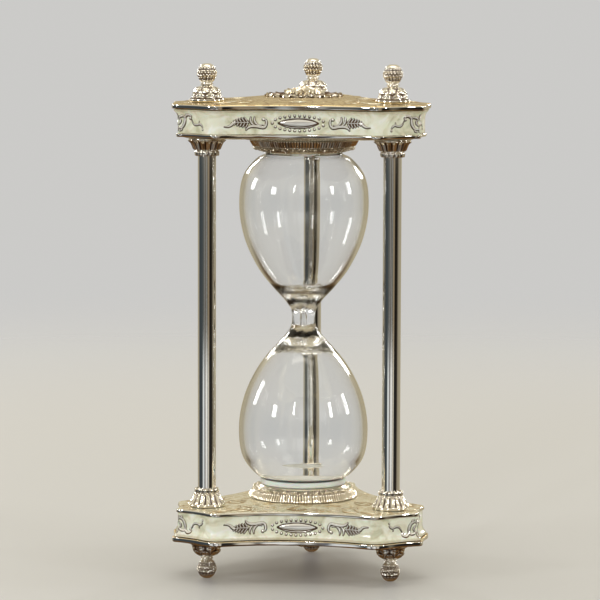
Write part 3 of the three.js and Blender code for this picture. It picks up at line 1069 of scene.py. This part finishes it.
# Where a point drawn flat, along and up the band, lies on the enamel.
class BandRoute:
    def __init__(self, grow):
        ring = [p + way * grow for p, way in zip(edgeLine, edgeWay)]
        self.points = ring + ring[:1]
        self.walked = [0]
        for a, b in zip(self.points, self.points[1:]):
            self.walked.append(self.walked[-1] + (b - a).length)
        self.total = self.walked[-1]

    def nearest(self, angle):
        way = Vector((math.cos(math.radians(angle)), math.sin(math.radians(angle))))
        best = max(range(len(self.points) - 1), key=lambda i: self.points[i].normalized().dot(way))
        return self.walked[best]

    def at(self, along):
        along %= self.total
        high = bisect.bisect_right(self.walked, along)
        low = high - 1
        a, b = self.points[low], self.points[high]
        share = (along - self.walked[low]) / (self.walked[high] - self.walked[low])
        before = (a - self.points[low - 1 if low else -2]).normalized()
        here = (b - a).normalized()
        after = (self.points[(high + 1) % (len(self.points) - 1)] - b).normalized()
        way = (before + here).lerp(here + after, share).normalized()
        return a.lerp(b, share), Vector((way.y, -way.x))


route = BandRoute(-band["face"])


# Wraps flat work round the band at each corner, turned on by an angle, then shifted and lifted.
def wrapOnBand(flat, turn, shift, lift, target):
    for angle in plan["angles"]:
        start = route.nearest(angle + turn) + shift
        bm = flat.copy()
        for vert in bm.verts:
            place, out = route.at(start + vert.co.x)
            z = band["middle"] + vert.co.y + lift
            place = place + out * (vert.co.z + bandGrow(z) + band["face"])
            vert.co = (place.x, place.y, z)
        joinInto(target, bm)
    flat.free()


scroll = {
    "lines": [
        [(23.0, 3.2, 0.1), (22.1, 2.1, 0.34), (20.5, 1.4, 0.48), (18.0, 1.45, 0.5),
         (16.3, 1.8, 0.5), (15.0, 1.9, 0.46), (14.15, 1.0, 0.44), (13.9, -0.5, 0.4),
         (14.4, -1.7, 0.3)],
        [(17.6, 0.8, 0.1), (16.3, 1.0, 0.22), (15.3, 0.7, 0.12)],
        [(17.2, 1.0, 0.12), (18.5, 0.1, 0.38), (19.2, -1.2, 0.36), (19.1, -3.0, 0.08)],
        [(19.3, 1.0, 0.12), (20.4, 0, 0.38), (20.95, -1.4, 0.34), (20.7, -3.0, 0.08)],
        [(27.6, -0.6, 0.2), (28.6, 0, 0.52), (29.6, 0.95, 0.42), (31.0, 1.5, 0.26),
         (32.8, 1.5, 0.06)],
        [(21.6, -0.3, 0.2), (25.0, -0.2, 0.2), (28.2, -0.4, 0.16)]],
    "ball": (15.2, -1.7, 0.68),
    "leaf": [(21.4, -0.2, 0.5), (22.6, -0.3, 1.5), (24.6, -0.3, 1.9), (26.8, -0.3, 1.2),
             (28.6, -0.3, 0.3)],
    "leafFlat": 0.06,
    "ribs": 5, "ribStart": 21.9, "ribPitch": 1.42, "ribRoot": -0.25, "ribShorten": 0.75,
    "ribReaches": [(2.4, 0.55), (-2.5, 0.8)],   # how far up or down, and the slope
}
navette = {
    "half": 8.2, "width": 1.6, "lensFlat": 0.48, "shift": 0.4,
    "borderHalf": 9.0, "border": 2.1, "borderFlat": 0.9,
    "ovalLong": 11.4, "ovalShort": 3.3, "ovalSteps": 180, "beads": 23, "bead": 0.52,
}
cornerScroll = {
    "lines": [
        [(4.0, -2.6, 0.12), (3.8, -1.0, 0.42), (3.5, 0.5, 0.5), (2.6, 2.0, 0.42), (1.2, 2.7, 0.3),
         (0.3, 2.3, 0.15)],
        [(3.4, -1.4, 0.2), (4.3, -2.7, 0.42), (5.6, -3.3, 0.42), (6.9, -2.9, 0.36),
         (7.2, -2.0, 0.25)],
        [(0.4, -1.5, 0.15), (1.6, -2.4, 0.38), (3.0, -2.6, 0.3), (4.0, -2.0, 0.12)],
        [(0.3, 1.2, 0.12), (1.3, 0.3, 0.3), (1.5, -0.9, 0.26), (0.6, -1.5, 0.1)],
        [(0.9, 3.9, 0.12), (1.9, 3.4, 0.3), (2.5, 2.6, 0.12)],
        [(7.3, -1.4, 0.08), (8.2, 0.3, 0.2), (9.3, 1.0, 0.28), (10.8, 0.95, 0.28),
         (12.0, 0.6, 0.32), (13.2, 1.1, 0.3), (14.0, 2.1, 0.2)],
        [(12.0, 0.6, 0.25), (11.7, -0.2, 0.18), (11.9, -0.9, 0.06)]],
    "bud": [[(0, 4.0, 0.1), (0, 2.8, 0.32), (0, 1.5, 0.1)],
            [(0, -1.6, 0.1), (0, -3.0, 0.34), (0, -4.1, 0.1)]],
    "balls": [(6.7, -1.8, 0.56), (13.9, 2.9, 0.42)],
}
# The silver strokes have no extra width. The dark bed that they lie in is wider, and flat: a brown
# patina wash round the relief, and also a painted drop shadow, as it is set a little lower than the
# strokes.
relief = {
    "boldness": 1.2, "height": 0.62, "ballFlat": 0.95,
    "bedWidth": 0.22, "bedHeight": 0.25, "bedBallFlat": 0.3, "shadowDrop": 0.15,
}


def reliefSheet(strokes, balls, widen):
    bold = widened(strokes, widen, relief["boldness"])
    sheet = strokeMesh(bold, flat=relief["bedHeight"] if widen else relief["height"])
    for x, y, radius in balls:
        addBead(sheet, (x, y, 0), radius + widen,
                flat=relief["bedBallFlat"] if widen else relief["ballFlat"])
    return sheet


def lensShape(widen, flat):
    half = navette["half"] + widen
    middle = navette["width"] + widen
    near = navette["width"] * 0.66 + widen
    return strokeMesh([[(-half, 0, 0.05), (-half * 0.62, 0, near), (0, 0, middle),
                        (half * 0.62, 0, near), (half, 0, 0.05)]],
                      steps=7, sides=5, flat=flat * navette["lensFlat"])


def sideShapes(widen):
    strokes = list(scroll["lines"])
    for i in range(scroll["ribs"]):
        x = scroll["ribStart"] + i * scroll["ribPitch"]
        y = scroll["ribRoot"]
        short = 1 - scroll["ribShorten"] * (i / scroll["ribs"]) ** 1.5
        for reach, slope in scroll["ribReaches"]:
            reach *= short
            lean = abs(reach) * slope
            strokes.append([(x, y, 0.14), (x + 0.5 * lean, y + 0.55 * reach, 0.24),
                            (x + lean, y + reach, 0.12)])
    oval = []
    for i in range(navette["ovalSteps"]):
        angle = i * 2 * math.pi / navette["ovalSteps"]
        oval.append(Vector((navette["ovalLong"] * math.cos(angle),
                            navette["ovalShort"] * math.sin(angle))))
    places = evenly(oval, navette["beads"])
    ballX, ballY, ballRadius = scroll["ball"]
    balls = [(*p, navette["bead"]) for p in places]
    balls += [(ballX, ballY, ballRadius), (-ballX, ballY, ballRadius)]
    sheet = reliefSheet(mirrored(strokes), balls, widen)
    flat = relief["bedHeight"] if widen else relief["height"]
    if widen:
        leaf = mirrored([scroll["leaf"]])
        joinInto(sheet, strokeMesh(leaf, steps=4, sides=2, flat=scroll["leafFlat"]))
        joinInto(sheet, lensShape(widen, flat))
    end = navette["borderHalf"]
    lines = []
    for edge in (navette["border"], -navette["border"]):
        lines.append([(-end, 0, 0.1), (-end * 0.56, edge * 0.76, 0.16), (0, edge, 0.17),
                      (end * 0.56, edge * 0.76, 0.16), (end, 0, 0.1)])
    for p in places:
        inside = p.lerp(Vector((p.x * 0.9, 0)), 0.3)
        lines.append([(*inside, 0.1), (*p, 0.2)])
    joinInto(sheet, strokeMesh(widened(lines, widen), flat=flat * navette["borderFlat"]))
    return sheet


def cornerShapes(widen):
    strokes = mirrored(cornerScroll["lines"]) + cornerScroll["bud"]
    balls = [(x * side, y, radius) for x, y, radius in cornerScroll["balls"] for side in (1, -1)]
    return reliefSheet(strokes, balls, widen)


def makeBandOrnament():
    for label, widen, material in (("ornament", 0, castSilver),
                                   ("ornament_shadow_bed", relief["bedWidth"], tarnishAndShadow),
                                   ("navettes", 0, brightSilver)):
        for end, place in ends.items():
            way = 1 if end == "lower" else -1
            shift = navette["shift"] * way
            # painted shadow: the dark bed is set lower than its strokes
            drop = -relief["shadowDrop"] * way if widen else 0
            whole = bmesh.new()
            if label == "navettes":
                wrapOnBand(lensShape(0, relief["height"]), 60, shift, 0, whole)
            else:
                wrapOnBand(sideShapes(widen), 60, shift, drop, whole)
                wrapOnBand(cornerShapes(widen), 0, 0, drop, whole)
            finishPiece(f"{end}_{label}", whole, place, material,
                        recessGain=5.0 if label == "navettes" else 2.0)
            whole.free()


makeBandOrnament()
print("cast ornament on the enamel")


# Seat rings.
seatRing = {
    "base": 34.0, "steps": 576, "reeds": 120, "reedDepth": 0.6, "reedInside": 22.8, "reedEnd": 3.15,
    "profile": [
        (12, 0, 0), (24.1, 0, 0), (24.4, 0.35, 0.3), (24.05, 1.3, 0.5), (23.05, 2.9, 0.4),
        (22.9, 3.2, 0.1), (22.5, 3.2, 0.1), (22.3, 3.5, 0.2), (20.8, 4.5, 0.4), (20.5, 4.9, 0.2),
        (19.9, 4.9, 0.2), (19.5, 5.35, 0.25), (19.1, 5.5, 0.2), (17.9, 5.5, 0.1), (17.9, 2.1, 0),
        (12, 2.1, 0)],
    "channel": (20.2, 22.7), "channelStart": 3.1, "channelTarnish": 0.56,
    "beads": 28, "bead": 0.9, "beadCircle": 21.7, "beadHeight": 38.05, "phase": -95,
    "dart": 0.7, "dartStretch": (1.5, 0.3, 0.45, 1), "dartLean": -0.45, "darts": (-0.33, 0.33),
    "smallBead": 0.42,
}


def makeSeatRings():
    base = seatRing["base"]
    line = roundedLine(raised(seatRing["profile"], base), closed=True, steps=3)
    bm = spinLine(line, seatRing["steps"], closed=True)
    recess = bm.verts.layers.float.new("recess")
    inside, outside = seatRing["channel"]
    for vert in bm.verts:
        out, angle, z = polar(vert)
        z -= base
        if out > seatRing["reedInside"] and z < seatRing["reedEnd"]:
            groove = lobe(angle, seatRing["reeds"]) ** 1.5
            vert[recess] = groove
            fade = smooth(0, 0.7, z) * smooth(0, 0.6, 3.3 - z)
            pushOut(vert, out, -seatRing["reedDepth"] * fade * groove)
        elif inside < out < outside and z > seatRing["channelStart"]:
            vert[recess] = seatRing["channelTarnish"]
    beads = bmesh.new()
    reach = seatRing["beadCircle"]
    height = seatRing["beadHeight"]
    pitch = 2 * math.pi / seatRing["beads"]
    for i in range(seatRing["beads"]):
        angle = i * pitch + math.radians(seatRing["phase"])
        spot = Matrix.Rotation(angle, 4, "Z")
        addBead(beads, spot @ Vector((reach, 0, height)), seatRing["bead"], flat=0.9,
                segments=12, rings=8)
        for share in seatRing["darts"]:
            dart = Matrix.Rotation(angle + share * pitch, 4, "Z")
            lean = dart @ Matrix.Rotation(seatRing["dartLean"], 4, "Y")
            addBead(beads, dart @ Vector((reach - 0.15, 0, height)), seatRing["dart"],
                    turn=lean @ Matrix.Diagonal(seatRing["dartStretch"]))
        between = Matrix.Rotation(angle + pitch / 2, 4, "Z")
        addBead(beads, between @ Vector((reach + 0.35, 0, height - 0.35)), seatRing["smallBead"])
    joinInto(bm, beads)
    finishEnds("ring", bm, warmSilver, "seat_ring", recessGain=3.0)
    bm.free()


makeSeatRings()
print("seat rings reeded and beaded")


# Capitals.
capital = {
    "base": 32.6, "top": 7.8, "steps": 192, "spacing": 0.35,
    "profile": [
        (2.3, 0, 0), (8.0, 0, 0.15), (8.1, 0.55, 0.3), (7.9, 0.8, 0.1), (7.95, 1.0, 0.1),
        (7.0, 2.2, 0.8), (6.35, 3.8, 0.6), (5.85, 5.0, 0.4), (4.95, 5.35, 0.2), (5.1, 5.7, 0.1),
        (5.5, 6.0, 0.3), (5.45, 7.3, 0.3), (5.25, 7.8, 0.2), (4.35, 7.8, 0.1), (4.3, 3.4, 0),
        (2.3, 3.4, 0)],
    "inside": 4.7, "leaves": 16, "leafStart": 0.8, "leafEnd": 5.45, "depth": 0.7, "rib": 0.22,
    "curl": 0.45, "curlHeight": 1.3, "curlWidth": 0.45,
    "lobes": 12, "lobeStart": 5.5, "lobeDepth": 0.42, "lobeDrop": 0.5,
}


def makeCapitals():
    base = capital["base"]
    line = roundedLine(raised(capital["profile"], base), closed=True, steps=3)
    bm = spinLine(fillIn(line + line[:1], capital["spacing"])[:-1], capital["steps"], closed=True)
    recess = bm.verts.layers.float.new("recess")
    for vert in bm.verts:
        out, angle, z = polar(vert)
        z -= base
        if out < capital["inside"]:
            continue
        if capital["leafStart"] + 0.05 < z < capital["leafEnd"] - 0.05:
            gap = lobe(angle, capital["leaves"])
            fade = smooth(0, 0.5, z - capital["leafStart"])
            fade *= smooth(0, 0.4, capital["leafEnd"] - z)
            rib = capital["rib"] * (1 - smooth(0, 0.16, gap)) * fade
            curl = bell(z - capital["curlHeight"], capital["curlWidth"]) * (1 - gap ** 2)
            curl *= capital["curl"]
            pushOut(vert, out, rib + curl - capital["depth"] * gap ** 2.2 * fade)
            vert[recess] = min(1, gap ** 2 * 1.1) * fade
        elif z >= capital["lobeStart"]:
            gap = lobe(angle, capital["lobes"], 0.5)
            rise = smooth(0, 0.4, z - capital["lobeStart"])
            pushOut(vert, out, -capital["lobeDepth"] * gap ** 2 * rise)
            vert[recess] = 0.85 * gap ** 2 * rise
            if z > capital["top"] - 0.6:
                vert.co.z -= capital["lobeDrop"] * gap ** 2
    titles = {end: (end + "_pillar_cap_", end + "_capital_") for end in ends}
    finishCorners(bm, antique, titles, recessGain=2.5)
    bm.free()


makeCapitals()
print("capitals leafed")


# Feet and finials.
knob = {
    "ball": 4.3, "flat": 1.5, "arcEnd": 58, "arcSteps": 26, "steps": 160, "spacing": 0.26,
    "profile": [
        (2.15, 8.45, 0.3), (2.35, 8.6, 0.05), (2.6, 8.9, 0.3), (2.35, 9.2, 0.1), (2.1, 9.35, 0.05),
        (2.3, 9.6, 0.2), (4.3, 10.35, 0.9), (5.7, 11.7, 1.2), (6.4, 13.4, 0.8), (6.8, 15.0, 0.2),
        (6.85, 15.25, 0.05), (7.5, 15.3, 0.15), (7.7, 15.6, 0.25), (7.7, 16.4, 0.25),
        (7.45, 16.7, 0.15), (2.3, 16.7, 0), (2.3, 10.9, 0), (0, 10.9, 0)],
    "gadroons": 16, "gadroonDepth": 0.5, "grainPitch": 1.05, "grainDepth": 0.2,
    "beltWidth": 0.85, "beltDepth": 0.3, "bands": (2.2, 6.4), "bandWidth": 0.22, "bandDepth": 0.2,
    "petals": 8, "petalEdge": 12.7, "petalPoint": 1.7, "petalLift": 0.18, "petalGroove": 0.28,
    "lowGroove": 0.32, "rib": 0.14, "lowRib": 0.16, "vein": 0.08,
    "beltBeads": 18, "beltBead": 0.44, "beltRow": 0.47, "beadCircle": 4.02,
    "neckBeads": 14, "neckBead": 0.42, "neckCircle": 2.45, "neckHeight": 8.9,
}


# How the ball is cut: melon ribs of small grains, with a sunk belt and two sunk bands.
def ballCut(angle, z):
    centre = knob["ball"]
    gap = lobe(angle, knob["gadroons"])
    poles = smooth(0.7, 2.0, z) * smooth(0, 1.0, 8.1 - z)
    belt = 1 - bell(z - centre, knob["beltWidth"])
    bands = sum(bell(z - height, knob["bandWidth"]) for height in knob["bands"])
    grain = math.cos(z * 2 * math.pi / knob["grainPitch"])
    move = knob["grainDepth"] * grain * (1 - gap ** 2) - knob["gadroonDepth"] * gap ** 2
    move = move * poles * belt - knob["beltDepth"] * (1 - belt) - knob["bandDepth"] * bands
    dark = max(gap ** 4, (0.5 - 0.5 * grain) ** 2)
    return move, min(1, 0.85 * dark * poles * belt + 0.8 * (1 - belt) + 0.6 * bands)


# How the cap is cut: veined petals that lap over a second row between them.
def capCut(angle, z):
    gap = lobe(angle, knob["petals"])
    gapHigh = lobe(angle, knob["petals"], 0.5)
    edge = knob["petalEdge"] - knob["petalPoint"] * gapHigh ** 2
    over = 1 - smooth(edge - 0.1, edge + 0.25, z)
    tip = smooth(14.0, 15.1, z)
    grow = smooth(9.6, 10.6, z)
    lowLeaf = knob["lowRib"] * (1 - smooth(0, 0.12, gap)) * grow
    lowLeaf -= knob["lowGroove"] * gap ** 2.5 * (1 - tip * 0.4)
    highLeaf = knob["petalLift"] + knob["rib"] * (1 - smooth(0, 0.12, gapHigh))
    highLeaf -= knob["petalGroove"] * gapHigh ** 2.5
    crease = gapHigh if over > 0.5 else gap
    vein = math.cos(z * 4.8 - crease * 4.5) * (1 - smooth(0.75, 0.95, crease))
    dark = crease ** 4 + 0.8 * bell(z - edge - 0.3, 0.3) + 0.5 * max(0, -vein)
    move = lowLeaf * (1 - over) + highLeaf * over + knob["vein"] * vein
    return move * grow, min(1, dark) * grow


def makeKnobs():
    ball = knob["ball"]
    low = -math.acos(knob["flat"] / ball)
    high = math.radians(knob["arcEnd"])
    arc = []
    for i in range(knob["arcSteps"] + 1):
        angle = low + (high - low) * i / knob["arcSteps"]
        arc.append(Vector((ball * math.cos(angle), ball - ball * math.sin(angle) / math.sin(low))))
    rest = roundedLine([(*arc[-1], 0), *knob["profile"]], steps=3)
    line = [Vector((0, arc[0].y))] + fillIn(arc + rest[1:], knob["spacing"])
    bm = spinLine(line, knob["steps"])
    recess = bm.verts.layers.float.new("recess")
    for vert in bm.verts:
        out, angle, z = polar(vert)
        if out < 0.5 or (out < 2.35 and z > 10.5):
            continue
        if 0.25 < z < 8.0:
            move, vert[recess] = ballCut(angle, z)
            pushOut(vert, out, move)
        elif 9.5 < z < 15.2 and out > 2.2:
            move, vert[recess] = capCut(angle, z)
            pushOut(vert, out, move)
        if 14.9 < z < 15.45 and out > 6:
            vert[recess] = 1
    beads = bmesh.new()
    row = knob["beltRow"]
    for lift, shift in ((-row, -0.25), (row, 0.25)):
        beadCircle(beads, knob["beadCircle"], ball + lift, knob["beltBeads"], knob["beltBead"],
                   shift)
    beadCircle(beads, knob["neckCircle"], knob["neckHeight"], knob["neckBeads"], knob["neckBead"])
    joinInto(bm, beads)
    titles = {"lower": ("foot_knob_", "foot_"), "upper": ("finial_knob_", "finial_")}
    finishCorners(bm, antique, titles, recessGain=2.0)
    bm.free()


makeKnobs()
print("feet and finials gadrooned")


# Rosettes and wreaths. A row of petals has the root and tip of each as (reach, height), its half
# width, cup, curl, thickness and ridge, and then the number in the row and its turn.
rosette = {
    "profile": [(0, 2.2, 0), (3.5, 1.5, 0.5), (9.6, 0.55, 0.5), (10.6, 0.3, 0.15), (10.6, 0, 0)],
    "stud": 1.5, "studEnd": 20.0, "steps": 64, "petalSteps": (10, 8),
    "petals": [((0.4, 3.6), (7.2, 1.6), 1.9, 1.3, 0.3, -0.35, 0.5, 8, 0),
               ((3.0, 2.4), (9.2, 1.1), 1.8, 1.0, 0.4, -0.35, 0.4, 8, 0.5),
               ((6.0, 1.1), (11.4, 0.6), 1.5, 0.6, 0.4, -0.35, 0.3, 16, 0.5)],
    "wreath": [((9.8, 1.0), (16.8, 0.6), 1.35, 0.6, 0.6, -0.4, 0.4, 20, 0),
               ((11.8, 0.5), (17.7, 0.15), 1.1, 0.4, 0.45, -0.4, 0.3, 20, 0.5)],
    "boss": 0.75, "bossHeight": 3.25, "bead": 0.42,
    "beadRings": [(7.6, 1.75, 16), (11.0, 0.75, 32)],
}
faceUp = Matrix.Translation((0, 0, levels["coverDome"])) @ Matrix.Rotation(math.pi, 4, "X")


def petal(root, tip, width, cup, curl, thick, ridge):
    along, across = rosette["petalSteps"]
    bm = bmesh.new()
    bmesh.ops.create_grid(bm, x_segments=along, y_segments=across, size=1)
    for vert in bm.verts:
        t = (vert.co.x + 1) / 2
        side = vert.co.y
        half = width * max(0.06, math.sin(math.pi * min(1, 0.12 + 0.88 * t))) ** 0.65
        reach = root[0] + (tip[0] - root[0]) * t
        rise = root[1] + (tip[1] - root[1]) * t + curl * max(0, t - 0.6) ** 2 / 0.16
        rise += ridge * (1 - min(1, abs(side) * 3)) - cup * side * side
        vert.co = (reach, side * half, rise)
    bmesh.ops.recalc_face_normals(bm, faces=bm.faces[:])
    bmesh.ops.solidify(bm, geom=bm.faces[:], thickness=thick)
    bmesh.ops.recalc_face_normals(bm, faces=bm.faces[:])
    return bm


def addPetals(target, rows):
    for *shape, count, shift in rows:
        blade = petal(*shape)
        for i in range(count):
            turn = Matrix.Rotation((i + shift) * 2 * math.pi / count, 4, "Z")
            joinInto(target, blade, turn, keep=True)
        blade.free()


def makeRosettes():
    stud = rosette["stud"]
    end = levels["coverDome"] - rosette["studEnd"]
    line = roundedLine([*rosette["profile"], (stud, 0, 0), (stud, end, 0), (0, end, 0)])
    bm = spinLine(line, rosette["steps"])
    addPetals(bm, rosette["petals"])
    beads = bmesh.new()
    addBead(beads, (0, 0, rosette["bossHeight"]), rosette["boss"], flat=0.9, segments=12, rings=8)
    for reach, height, count in rosette["beadRings"]:
        beadCircle(beads, reach, height, count, rosette["bead"], 0.5)
    joinInto(bm, beads)
    wreath = bmesh.new()
    addPetals(wreath, rosette["wreath"])
    finishEnds("petals", bm, agedSilver, "rosette", turn=faceUp, recessGain=6.0)
    finishEnds("wreath", wreath, agedSilver, turn=faceUp, recessGain=6.0)
    bm.free()
    wreath.free()


makeRosettes()
print("rosettes built up")


# Raised scrolls on the decks and covers, each pair over a thin dark bed.
deckScroll = {
    "stem": [(35.2, 8.6, 0.15), (37.0, 12.2, 0.55), (40.6, 14.9, 0.7), (45.0, 15.6, 0.7),
             (48.6, 14.0, 0.6), (49.0, 11.6, 0.4)],
    "branches": [
        [(41.0, 15.2, 0.2), (39.4, 17.6, 0.55), (36.2, 18.8, 0.5), (33.4, 17.4, 0.12)],
        [(45.0, 15.8, 0.2), (46.8, 17.6, 0.5), (49.6, 17.2, 0.12)],
        [(34.4, 10.6, 0.1), (33.2, 13.4, 0.5), (31.2, 15.0, 0.12)],
        [(29.2, 1.4, 0.2), (31.6, 3.4, 0.5), (34.2, 3.6, 0.4), (35.6, 2.2, 0.15)],
        [(55.2, 1.6, 0.15), (57.0, 3.2, 0.42), (56.8, 5.8, 0.38), (55.2, 7.0, 0.12)]],
    "centre": [[(28.0, 0, 0.15), (31.0, 0, 0.7), (34.6, 0, 0.15)],
               [(55.0, 0, 0.2), (57.0, 0, 0.45), (58.4, 0, 0.12)]],
    "balls": [(47.6, 11.7, 0.85), (36.2, 1.2, 0.5)],
    "spurs": (0.2, 0.7), "spurCentre": (45, 10), "spurLength": 1.9,
    "fanCount": 7, "fanStep": 17, "fanReach": 27.2, "fanLength": 5.4, "fanTurn": 60,
    # name, extra width, height and finish of each layer
    "layers": [("scrolls", 0, 0.55, champagne), ("scroll_bed", 0.38, 0.18, umber)],
}


def deckSheet(widen, flat):
    stem = deckScroll["stem"]
    strokes = [stem, *deckScroll["branches"]]
    for (x, y, _), (nextX, nextY, _) in zip(stem[1:], stem[2:]):
        for share in deckScroll["spurs"]:
            root = Vector((x, y)).lerp(Vector((nextX, nextY)), share)
            away = (root - Vector(deckScroll["spurCentre"])).normalized()
            tip = root + away * deckScroll["spurLength"]
            strokes.append([(*root, 0.3), (*root.lerp(tip, 0.5), 0.38), (*tip, 0.08)])
    strokes += [[(x, -y, w) for x, y, w in s] for s in strokes] + deckScroll["centre"]
    turn = Matrix.Rotation(math.radians(deckScroll["fanTurn"]), 2)
    for i in range(deckScroll["fanCount"]):
        lean = math.radians((i - (deckScroll["fanCount"] - 1) / 2) * deckScroll["fanStep"])
        root = turn @ Vector((deckScroll["fanReach"], 0))
        tip = root + turn @ Vector((math.cos(lean), math.sin(lean))) * deckScroll["fanLength"]
        strokes.append([(*root, 0.15), (*root.lerp(tip, 0.65), 0.5), (*tip, 0.12)])
    sheet = strokeMesh(widened(strokes, widen), flat=flat)
    for x, y, radius in deckScroll["balls"]:
        for side in (1, -1):
            addBead(sheet, (x, y * side, 0), radius + widen, flat=flat)
    return sheet


# Lays flat work on a surface, from above with side 1 and from below with side -1.
def layOn(flat, surface, side):
    tree = BVHTree.FromBMesh(surface)
    bm = flat.copy()
    for vert in bm.verts:
        x, y, z = vert.co
        spot = tree.ray_cast(Vector((x, y, 25 + side * 60)), Vector((0, 0, -side)))[0]
        if spot is None:
            spot = tree.find_nearest(Vector((x, y, levels["lipStart"])))[0]
        vert.co.z = spot.z + side * z
    if side < 0:
        bmesh.ops.reverse_faces(bm, faces=bm.faces[:])
    return bm


def makeDeckScrolls():
    for label, widen, flat, material in deckScroll["layers"]:
        sheet = deckSheet(widen, flat)
        whole = bmesh.new()
        for angle in plan["angles"]:
            turn = Matrix.Rotation(math.radians(angle), 4, "Z")
            joinInto(whole, sheet, turn, keep=True)
        for face, surface, side in (("deck", deckShape, 1), ("lid", coverShape, -1)):
            laid = layOn(whole, surface, side)
            finishEnds(f"{face}_{label}", laid, material, recessGain=2.0)
            laid.free()
        sheet.free()
        whole.free()
    deckShape.free()
    coverShape.free()


makeDeckScrolls()
print("scrolls laid on decks and covers")


# Steel inside.
for name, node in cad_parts.items():
    if "nut" in name or "tie_rod" in name:
        node.data.materials.clear()
        node.data.materials.append(steel)

print("pieces:", pieceCount)
